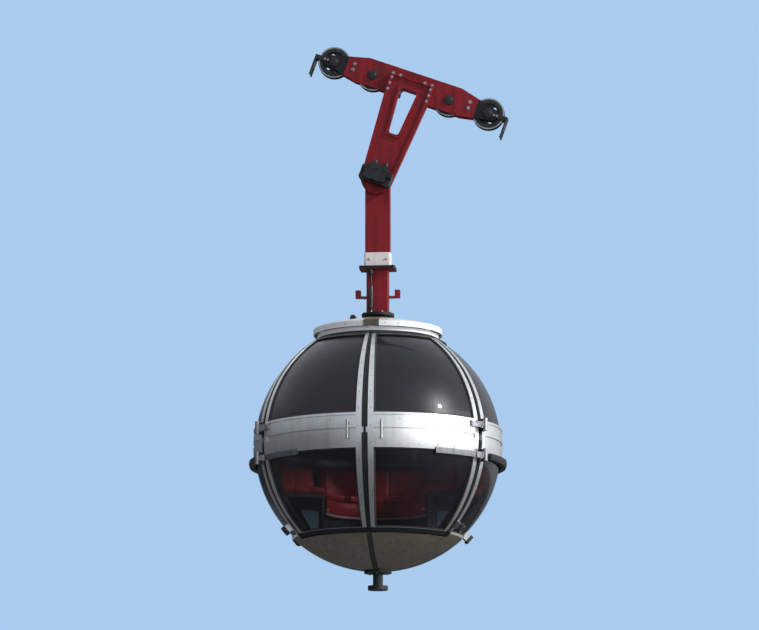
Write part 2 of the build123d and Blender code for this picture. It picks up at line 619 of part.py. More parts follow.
with BuildPart() as leaf_handle:
    a = radians(HANDLE_ANGLE)
    handle_at = ((SPHERE_RADIUS + HANDLE_STANDOFF) * sin(a), -(SPHERE_RADIUS + HANDLE_STANDOFF) * cos(a))
    foot_level = HANDLE_LENGTH / 2 - 1.5 * HANDLE_RADIUS
    for level in (-foot_level, foot_level):
        foot_at = (CABIN[0] + handle_at[0], handle_at[1], CABIN[2] + level)
        with BuildSketch(Plane(origin=foot_at, z_dir=(-sin(a), cos(a), 0))):
            Circle(0.8 * HANDLE_RADIUS)
        extrude(amount=HANDLE_STANDOFF + BAND_GROOVE_DEPTH)
    with BuildSketch(cabin_level(-HANDLE_LENGTH / 2)):
        with Locations(handle_at):
            Circle(HANDLE_RADIUS)
    extrude(amount=HANDLE_LENGTH)
    with Locations(CABIN):
        Sphere(SPHERE_RADIUS, mode=Mode.SUBTRACT)
save_pair(leaf_handle.part, "door_SIDE_handle")


# Hinges: straps and knuckles on the leaf, knuckles and pins on the post
def at_hinge(height):
    """A level plane on the hinge's axis, its x outwards from the sphere."""
    a = radians(HINGE_ANGLE)
    place = (CABIN[0] + HINGE_AXIS_RADIUS * sin(a), -HINGE_AXIS_RADIUS * cos(a), CABIN[2] + height)
    return Plane(origin=place, x_dir=(sin(a), -cos(a), 0), z_dir=(0, 0, 1))


LUG_LENGTH = 3 * HINGE_BARREL_RADIUS
strap_end = HINGE_ANGLE - degrees(DOOR_GAP / SPHERE_RADIUS)
with BuildPart() as hinge_leaf:
    for hinge_height, strap_angle in zip(HINGE_HEIGHTS, (STRAP_ANGLE, SHORT_STRAP_ANGLE)):
        strap_low = hinge_height - HINGE_KNUCKLE_HEIGHT / 2
        add(lune(HINGE_ANGLE - strap_angle, strap_end, strap_low, strap_low + HINGE_KNUCKLE_HEIGHT,
                 SPHERE_RADIUS, SPHERE_RADIUS + STRAP_THICKNESS))
        with BuildSketch(at_hinge(strap_low)):
            Circle(HINGE_BARREL_RADIUS)
            with BuildLine():
                Polyline((0, 0), (-HINGE_STANDOFF + STRAP_THICKNESS / 2, -LUG_LENGTH),
                         (0, -HINGE_BARREL_RADIUS), (0, 0))
            make_face()
        extrude(amount=HINGE_KNUCKLE_HEIGHT)
        with BuildSketch(at_hinge(strap_low)):
            Circle(HINGE_PIN_RADIUS + RUNNING_CLEARANCE)
        extrude(amount=HINGE_KNUCKLE_HEIGHT, mode=Mode.SUBTRACT)
save_pair(hinge_leaf.part, "door_SIDE_hinge")

with BuildPart() as hinge_post:
    for hinge_height in HINGE_HEIGHTS:
        half = HINGE_KNUCKLE_HEIGHT / 2 + KNUCKLE_GAP
        for post_low in (hinge_height - half - POST_KNUCKLE_HEIGHT, hinge_height + half):
            with BuildSketch(at_hinge(post_low)):
                Circle(HINGE_BARREL_RADIUS)
                with BuildLine():
                    Polyline((0, 0), (0, HINGE_BARREL_RADIUS), (-HINGE_STANDOFF - LEAF_DEPTH / 4, LUG_LENGTH),
                             (-HINGE_STANDOFF - LEAF_DEPTH / 4, LUG_LENGTH / 4), (0, 0))
                make_face()
            extrude(amount=POST_KNUCKLE_HEIGHT)
        with BuildSketch(at_hinge(hinge_height - half - POST_KNUCKLE_HEIGHT)):
            Circle(HINGE_PIN_RADIUS)
        extrude(amount=2 * (half + POST_KNUCKLE_HEIGHT))
    with Locations(CABIN):
        Sphere(SPHERE_RADIUS, mode=Mode.SUBTRACT)
    add(lune(HINGE_ANGLE, HINGE_ANGLE + 2 * RIB_HALF_ANGLE,
             BAND_HALF_HEIGHT - BAND_LIP_HEIGHT, BAND_HALF_HEIGHT,
             INFILL_RADIUS, SPHERE_RADIUS + BAND_LIP), mode=Mode.SUBTRACT)
save_pair(hinge_post.part, "hinge_post_SIDE")

# Hanger, from the roof up: rubber dampers, foot and knuckle, collar, arm
FOOT_LOW = HUB_TOP + DAMPER_HEIGHT
KNUCKLE_LOW = FOOT_LOW + FOOT_THICKNESS
KNUCKLE_HIGH = KNUCKLE_LOW + KNUCKLE_LENGTH
COLLAR_LOW = KNUCKLE_HIGH + KNUCKLE_FLANGE
COLLAR_HIGH = COLLAR_LOW + COLLAR_HEIGHT
ARM_LENGTH = HANGER_LENGTH - COLLAR_HIGH
with BuildPart() as foot_dampers:
    with BuildSketch(cabin_level(HUB_TOP)):
        with PolarLocations(DAMPER_OFFSET, 4, start_angle=45):
            Circle(DAMPER_RADIUS)
    extrude(amount=DAMPER_HEIGHT)
save(foot_dampers.part, "foot_dampers")

with BuildPart() as hanger_knuckle:
    with BuildSketch(cabin_level(FOOT_LOW)):
        Circle(FOOT_RADIUS)
    extrude(amount=FOOT_THICKNESS)
    with BuildSketch(cabin_level(KNUCKLE_LOW)):
        RectangleRounded(KNUCKLE_WIDTH, 2 * ARM_HALF_DEPTH, ARM_WALL)
    extrude(amount=KNUCKLE_LENGTH)
    with BuildSketch(cabin_level(KNUCKLE_HIGH)):
        RectangleRounded(ARM_WIDTH + 2 * KNUCKLE_FLANGE_MARGIN,
                         2 * (ARM_HALF_DEPTH + KNUCKLE_FLANGE_MARGIN), ARM_WALL)
    extrude(amount=KNUCKLE_FLANGE)
    with BuildSketch(cabin_level(KNUCKLE_LOW)):
        Rectangle(KNUCKLE_WIDTH - 2 * ARM_WALL, 2 * (ARM_HALF_DEPTH - ARM_WALL))
    extrude(amount=KNUCKLE_LENGTH, mode=Mode.SUBTRACT)
save(hanger_knuckle.part, "hanger_knuckle")

with BuildPart() as knuckle_dampers:
    damper_out = ARM_HALF_DEPTH + KNUCKLE_DAMPER_GAP + KNUCKLE_DAMPER_RADIUS
    with BuildSketch(cabin_level(KNUCKLE_LOW)):
        with Locations((-KNUCKLE_DAMPER_OFFSET, -damper_out), (KNUCKLE_DAMPER_OFFSET, damper_out)):
            Circle(KNUCKLE_DAMPER_RADIUS)
    extrude(amount=KNUCKLE_LENGTH)
save(knuckle_dampers.part, "knuckle_dampers")

with BuildPart() as hanger_collar:
    with BuildSketch(cabin_level(COLLAR_LOW)):
        RectangleRounded(ARM_WIDTH + 2 * COLLAR_OVERHANG,
                         2 * (ARM_HALF_DEPTH + COLLAR_OVERHANG), 1.5 * ARM_WALL)
    extrude(amount=COLLAR_HEIGHT)
    fillet(hanger_collar.edges().group_by(Axis.Z)[-1], COLLAR_OVERHANG)
save(hanger_collar.part, "hanger_collar")

with BuildPart() as hanger_arm:
    with BuildSketch(at_pivot(ARM_HALF_DEPTH)):
        with Locations((0, -ARM_LENGTH / 2)):
            Rectangle(ARM_WIDTH, ARM_LENGTH)
        Circle(ARM_WIDTH / 2)
    extrude(amount=2 * ARM_HALF_DEPTH)
    with BuildSketch(at_pivot(ARM_HALF_DEPTH - ARM_WALL)):
        with Locations((0, -(ARM_LENGTH + EYE_SOLID_HEIGHT - ARM_WALL) / 2)):
            Rectangle(ARM_WIDTH - 2 * ARM_WALL, ARM_LENGTH - EYE_SOLID_HEIGHT - ARM_WALL)
    extrude(amount=2 * (ARM_HALF_DEPTH - ARM_WALL), mode=Mode.SUBTRACT)
    with BuildSketch(at_pivot(ARM_HALF_DEPTH)):
        Circle(PIN_RADIUS + RUNNING_CLEARANCE)
    extrude(amount=2 * ARM_HALF_DEPTH, mode=Mode.SUBTRACT)
save(hanger_arm.part, "hanger_arm")

# Cable eyes on the knuckle, one up and one down the line
CABLE_EYE_LEVEL = KNUCKLE_HIGH - CABLE_EYE_DROP
EYE_MIDDLE = CABLE_EYE_REACH - CABLE_EYE_LENGTH / 2
with BuildPart() as cable_brackets:
    for side in (-1, 1):
        with BuildSketch(cabin_level(CABLE_EYE_LEVEL - CABLE_EYE_SIZE / 2)):
            with Locations((side * EYE_MIDDLE, 0)):
                Rectangle(CABLE_EYE_LENGTH, CABLE_EYE_SIZE)
        extrude(amount=CABLE_EYE_SIZE)
        with BuildSketch(cabin_level(CABLE_EYE_LEVEL - CABLE_EYE_SIZE / 2 - CABLE_ARM_THICKNESS)):
            with Locations((side * (CABLE_EYE_REACH + KNUCKLE_WIDTH / 2) / 2, 0)):
                Rectangle(CABLE_EYE_REACH - KNUCKLE_WIDTH / 2, CABLE_EYE_SIZE)
        extrude(amount=CABLE_ARM_THICKNESS)
        eye_at = (CABIN[0] + side * (CABLE_EYE_REACH - CABLE_EYE_LENGTH), 0, CABIN[2] + CABLE_EYE_LEVEL)
        with BuildSketch(Plane(origin=eye_at, z_dir=(side, 0, 0))):
            Circle(CABLE_EYE_RADIUS)
        extrude(amount=CABLE_EYE_LENGTH, mode=Mode.SUBTRACT)
save(cable_brackets.part, "cable_brackets")

# Fork: a tapered weldment bolted to the carriage's door-side cheek. A window runs through it
# and on between the cheeks, round the rope.
with BuildPart() as window_throat:
    with BuildSketch(on_rope(CHEEK_OUT)):
        with BuildLine():
            Polyline((-WINDOW_LOW_WIDTH / 2, -WINDOW_DROP), (WINDOW_LOW_WIDTH / 2, -WINDOW_DROP),
                     (WINDOW_HIGH_WIDTH / 2, WINDOW_RISE), (-WINDOW_HIGH_WIDTH / 2, WINDOW_RISE),
                     (-WINDOW_LOW_WIDTH / 2, -WINDOW_DROP))
        make_face()
        fillet(vertices(), WINDOW_FILLET)
    extrude(amount=2 * CHEEK_OUT + FORK_DEPTH)

recess_low = -PIVOT_DROP + GRIP_HEIGHT / 2 + FORK_FLANGE
with BuildPart() as fork:
    with BuildSketch(on_rope(-CHEEK_OUT)):
        with Locations((0, -PIVOT_DROP)):
            Circle(FORK_FOOT_RADIUS)
        with Locations((0, (CHEEK_LOW + FORK_TOP) / 2)):
            Rectangle(FORK_TOP_WIDTH, FORK_TOP - CHEEK_LOW)
        make_hull()
    extrude(amount=FORK_DEPTH)
    with BuildSketch(on_rope(FORK_FACE + FORK_RECESS)):
        with Locations((0, -PIVOT_DROP)):
            Circle(FORK_FOOT_RADIUS - FORK_FLANGE)
        with Locations((0, (CHEEK_LOW + FORK_TOP) / 2)):
            Rectangle(FORK_TOP_WIDTH - 2 * FORK_FLANGE, FORK_TOP - CHEEK_LOW - 2 * FORK_FLANGE)
        make_hull()
        with Locations((0, recess_low)):
            Rectangle(FORK_TOP_WIDTH, PIVOT_DROP, align=(Align.CENTER, Align.MAX), mode=Mode.SUBTRACT)
        with BuildLine():
            Polyline((-WINDOW_LOW_WIDTH / 2 - WINDOW_RIM, -WINDOW_DROP - WINDOW_RIM),
                     (WINDOW_LOW_WIDTH / 2 + WINDOW_RIM, -WINDOW_DROP - WINDOW_RIM),
                     (WINDOW_HIGH_WIDTH / 2 + WINDOW_RIM, WINDOW_RISE + WINDOW_RIM),
                     (-WINDOW_HIGH_WIDTH / 2 - WINDOW_RIM, WINDOW_RISE + WINDOW_RIM),
                     (-WINDOW_LOW_WIDTH / 2 - WINDOW_RIM, -WINDOW_DROP - WINDOW_RIM))
        make_face(mode=Mode.SUBTRACT)
        fillet(vertices(), FORK_RECESS / 2)
    extrude(amount=FORK_RECESS, mode=Mode.SUBTRACT)
    add(window_throat.part, mode=Mode.SUBTRACT)
    with BuildSketch(on_rope(-CHEEK_OUT)):
        with Locations((0, -PIVOT_DROP)):
            Circle(PIN_RADIUS)
    extrude(amount=FORK_DEPTH, mode=Mode.SUBTRACT)
save(fork.part, "fork")

PIN_HEAD_FACE = ARM_HALF_DEPTH + PIN_HEAD_CLEARANCE
with BuildPart() as pivot_pin:
    with BuildSketch(at_pivot(PIN_HEAD_FACE)):
        Circle(PIN_RADIUS)
    extrude(amount=PIN_HEAD_FACE - FORK_FACE)
    with BuildSketch(at_pivot(PIN_HEAD_FACE)):
        Circle(PIN_HEAD_RADIUS)
    extrude(amount=-PIN_HEAD_THICKNESS)
save(pivot_pin.part, "pivot_pin")

# Haul rope grip: a body on the fork's face and a jaw hooked over it
HAUL_ROPE_ACROSS = FORK_FACE - GRIP_DEPTH


def haul_rope_plane():
    """The plane square to the haul rope, uphill of the grip."""
    back = (PIVOT[0] - GRIP_LENGTH * cos(slope), HAUL_ROPE_ACROSS, PIVOT[2] + GRIP_LENGTH * sin(slope))
    return Plane(origin=back, z_dir=(cos(slope), 0, -sin(slope)))


with BuildPart() as grip_body:
    with BuildSketch(on_rope(FORK_FACE)):
        with Locations((0, -PIVOT_DROP)):
            RectangleRounded(GRIP_LENGTH, GRIP_HEIGHT, 0.15 * GRIP_HEIGHT)
    extrude(amount=GRIP_DEPTH)
    with BuildSketch(haul_rope_plane()):
        Circle(HAUL_ROPE_RADIUS)
    extrude(amount=2 * GRIP_LENGTH, mode=Mode.SUBTRACT)
save(grip_body.part, "grip_body")

with BuildPart() as grip_jaw:
    jaw_back = HAUL_ROPE_ACROSS - JAW_LIP_GAP
    with BuildSketch(on_rope(jaw_back)):
        with Locations((0, -PIVOT_DROP + JAW_HOOK_HEIGHT / 2)):
            RectangleRounded(JAW_LENGTH, GRIP_HEIGHT, 0.12 * GRIP_HEIGHT)
    extrude(amount=JAW_THICKNESS)
    with BuildSketch(on_rope(FORK_FACE - JAW_LIP_GAP)):
        with Locations((0, -PIVOT_DROP + (GRIP_HEIGHT + JAW_HOOK_HEIGHT) / 2)):
            Rectangle(JAW_HOOK_LENGTH, JAW_HOOK_HEIGHT)
    extrude(amount=GRIP_DEPTH + JAW_THICKNESS)
    with BuildSketch(haul_rope_plane()):
        Circle(HAUL_ROPE_RADIUS)
    extrude(amount=2 * GRIP_LENGTH, mode=Mode.SUBTRACT)
save(grip_jaw.part, "grip_jaw")

# Carriage: two cheeks, the blocks between them, axles, wheels and end guards
WHEEL_PLACES = (-WHEEL_OUTER_PLACE, -WHEEL_INNER_PLACE, WHEEL_INNER_PLACE, WHEEL_OUTER_PLACE)
for cheek_name, cheek_face in (("cheek_door_side", -CHEEK_IN), ("cheek_far_side", CHEEK_OUT)):
    with BuildPart() as cheek:
        with BuildSketch(on_rope(cheek_face)):
            end_arm = WHEEL_OUTER_PLACE + END_ARM_REACH
            with Locations((-end_arm, WHEEL_LINE), (end_arm, WHEEL_LINE)):
                Circle(END_ARM_RADIUS)
            with BuildLine():
                Polyline((-CHEEK_HALF_LOW, CHEEK_LOW), (CHEEK_HALF_LOW, CHEEK_LOW),
                         (CHEEK_HALF_HIGH, CHEEK_HIGH), (-CHEEK_HALF_HIGH, CHEEK_HIGH),
                         (-CHEEK_HALF_LOW, CHEEK_LOW))
            make_face()
            make_hull()
        extrude(amount=CHEEK_THICKNESS)
        with BuildSketch(on_rope(cheek_face)):
            with Locations([(place, WHEEL_LINE) for place in WHEEL_PLACES]):
                Circle(AXLE_RADIUS)
        extrude(amount=CHEEK_THICKNESS, mode=Mode.SUBTRACT)
        add(window_throat.part, mode=Mode.SUBTRACT)
    save(cheek.part, cheek_name)

CROSS_PLACE = (WHEEL_OUTER_PLACE + WHEEL_INNER_PLACE) / 2
BLOCK_MIDDLE = (CHEEK_LOW + CHEEK_HIGH) / 2
with BuildPart() as carriage_blocks:
    with BuildSketch(on_rope(CHEEK_IN)):
        with Locations((0, BLOCK_MIDDLE)):
            RectangleRounded(MIDDLE_BLOCK_LENGTH, MIDDLE_BLOCK_HEIGHT, 0.1 * MIDDLE_BLOCK_HEIGHT)
        with Locations((-CROSS_PLACE, BLOCK_MIDDLE), (CROSS_PLACE, BLOCK_MIDDLE)):
            RectangleRounded(CROSS_BLOCK_LENGTH, CROSS_BLOCK_HEIGHT, 0.1 * CROSS_BLOCK_HEIGHT)
    extrude(amount=2 * CHEEK_IN)
    add(window_throat.part, mode=Mode.SUBTRACT)
save(carriage_blocks.part, "carriage_blocks")

with BuildPart() as axles:
    for place in WHEEL_PLACES:
        with BuildSketch(at_axle(place, CHEEK_OUT)):
            Circle(AXLE_RADIUS)
        extrude(amount=2 * CHEEK_OUT)
        for face, way in ((-CHEEK_OUT, 1), (CHEEK_OUT, -1)):
            with BuildSketch(at_axle(place, face)):
                RegularPolygon(AXLE_NUT_RADIUS, 6)
            extrude(amount=way * AXLE_NUT_HEIGHT)
save(axles.part, "axles")

# Half of a wheel's section, from the bore round to the middle of the groove: across, radius
RIM_IN = WHEEL_TREAD_RADIUS - WHEEL_RIM_THICKNESS
GROOVE_HALF = TRACK_ROPE_RADIUS + GROOVE_CLEARANCE
GROOVE_FLAT = GROOVE_HALF * tan(radians(22.5))
WHEEL_SECTION = [
    (WHEEL_WIDTH / 2, AXLE_RADIUS + RUNNING_CLEARANCE),
    (WHEEL_WIDTH / 2, WHEEL_HUB_RADIUS),
    (WHEEL_WEB / 2, WHEEL_HUB_RADIUS),
    (WHEEL_WEB / 2, RIM_IN),
    (WHEEL_WIDTH / 2, RIM_IN),
    (WHEEL_WIDTH / 2, WHEEL_RADIUS),
    (GROOVE_HALF + GROOVE_CLEARANCE, WHEEL_RADIUS),
    (GROOVE_HALF, WHEEL_TREAD_RADIUS + GROOVE_HALF - GROOVE_FLAT),
    (GROOVE_FLAT, WHEEL_TREAD_RADIUS),
]
for number, place in enumerate(WHEEL_PLACES, start=1):
    hub = at_axle(place, 0).origin
    with BuildPart() as wheel:
        with BuildSketch(Plane(origin=hub, x_dir=(0, 1, 0), z_dir=(1, 0, 0))):
            with BuildLine():
                Polyline(*WHEEL_SECTION, *[(-across, radius) for across, radius in reversed(WHEEL_SECTION)],
                         close=True)
            make_face()
        revolve(axis=Axis(hub, (0, 1, 0)))
        with BuildSketch(at_axle(place, WHEEL_WEB / 2)):
            with PolarLocations((WHEEL_HUB_RADIUS + RIM_IN) / 2, 6):
                Circle(WHEEL_HOLE_RADIUS)
        extrude(amount=WHEEL_WEB, mode=Mode.SUBTRACT)
    save(wheel.part, "wheel_" + str(number))

GUARD_PLACE = WHEEL_OUTER_PLACE + WHEEL_RADIUS + GUARD_CLEARANCE
GUARD_BAR_START = WHEEL_OUTER_PLACE + AXLE_NUT_RADIUS + CHEEK_CLEARANCE
GUARD_BAR_LENGTH = GUARD_PLACE + GUARD_THICKNESS - GUARD_BAR_START
for guard_name, way in (("guard_uphill", -1), ("guard_downhill", 1)):
    with BuildPart() as guard:
        for face in (-CHEEK_OUT, CHEEK_OUT + GUARD_BAR_THICKNESS):
            with BuildSketch(on_rope(face)):
                with Locations((way * (GUARD_BAR_START + GUARD_BAR_LENGTH / 2), WHEEL_LINE)):
                    Rectangle(GUARD_BAR_LENGTH, GUARD_BAR)
            extrude(amount=GUARD_BAR_THICKNESS)
        with BuildSketch(across_rope(way * GUARD_PLACE, way)):
            with Locations((0, GUARD_PLATE_LOW + GUARD_PLATE_HEIGHT / 2)):
                Rectangle(2 * (CHEEK_OUT + GUARD_BAR_THICKNESS), GUARD_PLATE_HEIGHT)
            with Locations((0, GUARD_PLATE_LOW)):
                notch = TRACK_ROPE_RADIUS + GUARD_NOTCH_MARGIN
                Rectangle(2 * notch, 2 * (notch - GUARD_PLATE_LOW), mode=Mode.SUBTRACT)
        extrude(amount=GUARD_THICKNESS)
    save(guard.part, guard_name)
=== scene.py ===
# %% [markdown]
# # A cable car cabin, dressed for its picture
#
# The construction model brings every rigid piece at its real size, so this lesson never moves or
# resizes one. It adds what a builder of such cabins would add last: the finish of each surface, the
# rubber that seals the panes, bolts and screws, and upholstered seats. All lengths are in metres.

# %% Load the fixed frame
import json
from math import cos, pi, radians, sin, sqrt

import bmesh
import bpy
from mathutils import Matrix, Vector


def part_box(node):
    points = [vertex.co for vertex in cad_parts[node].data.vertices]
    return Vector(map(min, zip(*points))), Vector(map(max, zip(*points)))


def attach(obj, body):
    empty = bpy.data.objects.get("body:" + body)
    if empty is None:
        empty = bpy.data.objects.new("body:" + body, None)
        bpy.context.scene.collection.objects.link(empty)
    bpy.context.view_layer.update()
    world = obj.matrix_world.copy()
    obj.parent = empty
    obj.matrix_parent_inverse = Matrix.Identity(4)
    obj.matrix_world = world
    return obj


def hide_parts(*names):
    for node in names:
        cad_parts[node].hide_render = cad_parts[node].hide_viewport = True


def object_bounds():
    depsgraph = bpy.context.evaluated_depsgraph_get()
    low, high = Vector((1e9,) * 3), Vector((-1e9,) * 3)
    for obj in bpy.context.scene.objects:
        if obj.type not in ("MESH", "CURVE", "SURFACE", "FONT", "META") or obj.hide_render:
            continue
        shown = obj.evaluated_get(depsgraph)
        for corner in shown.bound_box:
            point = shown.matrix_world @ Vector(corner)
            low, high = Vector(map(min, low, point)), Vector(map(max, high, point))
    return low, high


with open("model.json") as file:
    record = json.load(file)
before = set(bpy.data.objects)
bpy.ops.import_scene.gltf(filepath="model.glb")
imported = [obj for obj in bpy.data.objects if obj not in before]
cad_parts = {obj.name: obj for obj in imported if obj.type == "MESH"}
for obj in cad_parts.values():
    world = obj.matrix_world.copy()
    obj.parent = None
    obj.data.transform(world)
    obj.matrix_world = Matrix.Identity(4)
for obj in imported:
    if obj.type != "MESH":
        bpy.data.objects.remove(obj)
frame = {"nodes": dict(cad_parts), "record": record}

cad_low, cad_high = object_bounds()
print("nodes", len(frame["nodes"]), "box", tuple(cad_low), tuple(cad_high))

# %% [markdown]
# ## Where things are
#
# Almost every piece sits either on the sphere or on the sloping rope, so a few helpers give a place and
# a turned frame on each. On the sphere a place is an angle round from the door side, a latitude or a
# height, and a radius. On the rope it is a distance along it, one across it and one square to it.

# %% The sphere and the rope
ROPE_SLOPE = radians(20)
PIVOT_DROP = 0.675
SPHERE_RADIUS = 1.0
UP = Vector((0, 0, 1))
LEVEL = Vector((1, 0, 0))
rope_way = Vector((cos(ROPE_SLOPE), 0, -sin(ROPE_SLOPE)))
pivot = Vector((-PIVOT_DROP * sin(ROPE_SLOPE), 0, -PIVOT_DROP * cos(ROPE_SLOPE)))
middle = Vector((pivot.x, 0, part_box("floor_pan")[0].z + SPHERE_RADIUS))


def outward(angle, latitude=0.0):
    """The direction from the sphere's middle, its angle in degrees round from the door side."""
    a, b = radians(angle), radians(latitude)
    return Vector((sin(a) * cos(b), -cos(a) * cos(b), sin(b)))


def sideways(angle):
    """The level direction along the sphere's surface, as the angle grows."""
    return Vector((cos(radians(angle)), sin(radians(angle)), 0))


def frame_at(place, out, side=LEVEL):
    """A matrix whose Z points out of the surface and whose X points along side."""
    z = out.normalized()
    x = (side - z * side.dot(z)).normalized()
    y = z.cross(x)
    turn = Matrix((x, y, z)).transposed().to_4x4()
    return Matrix.Translation(place) @ turn


def on_sphere(angle, latitude, radius=SPHERE_RADIUS):
    """A frame on the sphere that faces out of it."""
    return frame_at(middle + radius * outward(angle, latitude), outward(angle, latitude), sideways(angle))


def at_height(angle, radius, height):
    """A point on a sphere of some radius, by its height over the middle instead of its latitude."""
    return middle + sqrt(radius ** 2 - height ** 2) * outward(angle) + height * UP


def on_axis(height):
    """A point on the upright line through the middle."""
    return Vector((middle.x, 0, height))


def on_rope(along, across, rise):
    """A point by its place along the rope, across it and square to it."""
    x = along * cos(ROPE_SLOPE) + rise * sin(ROPE_SLOPE)
    z = rise * cos(ROPE_SLOPE) - along * sin(ROPE_SLOPE)
    return Vector((x, across, z))


def rope_face(along, across, rise, way):
    """A frame at such a point that faces the door side (-1) or the far side (1)."""
    return frame_at(on_rope(along, across, rise), Vector((0, way, 0)), rope_way)


print("pivot", tuple(pivot), "middle of the sphere", tuple(middle))

# %% [markdown]
# ## The camera comes first
#
# The picture was taken from far away with a long lens, looking up ten degrees and a little round
# towards the downhill end. A long lens at a long distance keeps the same nearly parallel view.

# %% Camera
VIEW_ANGLE = 6
VIEW_RISE = -10
LENS = 200
SENSOR = 36
CAMERA_DISTANCE = 34.0
CLIP_END = 500


def put_in_scene(name, data):
    """A new object of some data, linked to the scene."""
    made = bpy.data.objects.new(name, data)
    bpy.context.scene.collection.objects.link(made)
    return made


def look_along(made, way):
    """Turns a camera or a lamp, which looks down its own Z, along a direction."""
    made.rotation_mode = "QUATERNION"
    made.rotation_quaternion = way.to_track_quat("-Z", "Y")


target = (cad_low + cad_high) / 2
camera = put_in_scene("camera", bpy.data.cameras.new("camera"))
camera.data.lens = LENS
camera.data.sensor_width = SENSOR
camera.data.clip_end = CLIP_END
camera.location = target + outward(VIEW_ANGLE, VIEW_RISE) * CAMERA_DISTANCE
look_along(camera, -outward(VIEW_ANGLE, VIEW_RISE))
bpy.context.scene.camera = camera
print("camera at", tuple(camera.location))

# %% [markdown]
# ## Helpers for node trees
#
# The sky and every finish are small node trees. One function adds a node with its settings and links. The
# others stand on it and hand on a socket, so that a tree reads like a sum.

# %% Small helpers for node trees
COLOR = "NodeSocketColor"
FLOAT = "NodeSocketFloat"
VECTOR = "NodeSocketVector"


def join(tree, node, links):
    """Joins a node's inputs to sockets, or gives them plain values. Colours come without their alpha."""
    for name, value in links.items():
        socket = node.inputs[name]
        if isinstance(value, bpy.types.NodeSocket):
            tree.links.new(value, socket)
        else:
            socket.default_value = (*value, 1) if socket.type == "RGBA" else value


def add_node(tree, kind, links=None, **settings):
    """A shader node with its settings and its inputs."""
    made = tree.nodes.new("ShaderNode" + kind)
    for name, value in settings.items():
        setattr(made, name, value)
    join(tree, made, links or {})
    return made


def calc(tree, operation, first, second=0.5, **settings):
    """One step of arithmetic."""
    return add_node(tree, "Math", {0: first, 1: second}, operation=operation, **settings).outputs[0]


def inverse(tree, mask):
    return calc(tree, "SUBTRACT", 1.0, mask)


def spread(tree, value, low, high, start=0.0, end=1.0):
    """A value that runs from start to end turned into one from low to high, and cut off there."""
    return add_node(tree, "MapRange", {"Value": value, 1: start, 2: end, 3: low, 4: high}).outputs[0]


def mask_from(tree, value, start, end=1.0):
    """A mask of 0 where a value is at its start and 1 where it is at its end."""
    return spread(tree, value, 0.0, 1.0, start, end)


def blend_colors(tree, mask, under, over):
    return add_node(tree, "Mix", {0: mask, 6: under, 7: over}, data_type="RGBA").outputs[2]


def object_place(tree):
    return add_node(tree, "TexCoord").outputs["Object"]


def stretched(tree, scale, turn=(0, 0, 0)):
    """Object coordinates that are turned and scaled, for a pattern with a direction."""
    place = object_place(tree)
    return add_node(tree, "Mapping", {"Vector": place, "Rotation": turn, "Scale": scale}).outputs[0]


def noise(tree, place, scale, detail=2.0, roughness=0.5):
    return add_node(tree, "TexNoise", {"Vector": place, "Scale": scale, "Detail": detail,
                    "Roughness": roughness}).outputs[0]


def start_group(name, inputs, outputs):
    """A shader node group with named sockets, what it is given, and the node that takes its results."""
    group = bpy.data.node_groups.new(name, "ShaderNodeTree")
    for label, kind, value in inputs:
        group.interface.new_socket(label, in_out="INPUT", socket_type=kind).default_value = value
    for label, kind in outputs:
        group.interface.new_socket(label, in_out="OUTPUT", socket_type=kind)
    return group, group.nodes.new("NodeGroupInput").outputs, group.nodes.new("NodeGroupOutput")


# %% [markdown]
# ## Sky, sun and floor
#
# The light is a bright day made plain: a pale blue surround, whiter overhead, and one sun from the right.
# The camera sees the surround as it is. Everything matt gets an even fill at a lower strength, so that the
# lamps don't add up to more light than a colour can hold. Polished metal and panes mirror a paler sky, and
# low down a bright haze under the sun and dark shaded woods on the side away from it.

# %% World
LOW_SKY = (0.40, 0.60, 0.86)
HIGH_SKY = (0.74, 0.80, 0.88)
SUN_SIDE = (0.80, 0.86, 0.92)
SHADE_SIDE = (0.05, 0.06, 0.075)
FILL = (0.94, 0.96, 1.0)
FILL_STRENGTH = 0.32
WHITER_FROM = 0.3
LAND_FROM, LAND_TO = 0.15, 0.45
SHADE_FROM, SHADE_TO = -0.5, 0.4
SUN_ANGLE = 72
world = bpy.data.worlds.new("surround")
bpy.context.scene.world = world
world.use_nodes = True
tree = world.node_tree
tree.nodes.clear()
rays = add_node(tree, "LightPath").outputs
way = add_node(tree, "TexCoord").outputs["Generated"]
height = add_node(tree, "SeparateXYZ", {0: way}).outputs["Z"]
pale = blend_colors(tree, mask_from(tree, height, WHITER_FROM), LOW_SKY, HIGH_SKY)
away = add_node(tree, "VectorMath", {0: way, 1: -outward(SUN_ANGLE)}, operation="DOT_PRODUCT")
shaded = mask_from(tree, away.outputs["Value"], SHADE_FROM, SHADE_TO)
land = blend_colors(tree, shaded, SUN_SIDE, SHADE_SIDE)
mirrored = blend_colors(tree, mask_from(tree, height, LAND_FROM, LAND_TO), land, HIGH_SKY)
shown = blend_colors(tree, rays["Is Glossy Ray"], pale, mirrored)
sky = add_node(tree, "Background", {0: shown})
fill = add_node(tree, "Background", {0: FILL, 1: FILL_STRENGTH})
seen = calc(tree, "MAXIMUM", rays["Is Camera Ray"], rays["Is Glossy Ray"])
seen = calc(tree, "MAXIMUM", seen, rays["Is Transmission Ray"])
mix = add_node(tree, "MixShader", {0: seen, 1: fill.outputs[0], 2: sky.outputs[0]})
add_node(tree, "OutputWorld", {0: mix.outputs[0]})
bpy.context.scene.view_settings.view_transform = "Standard"

# %% Sun
SUN_RISE = 29
SUN_STRENGTH = 2.3
SUN_WIDTH = radians(3)
sun = put_in_scene("sun", bpy.data.lights.new("sun", "SUN"))
sun.data.energy = SUN_STRENGTH
sun.data.angle = SUN_WIDTH
look_along(sun, -outward(SUN_ANGLE, SUN_RISE))

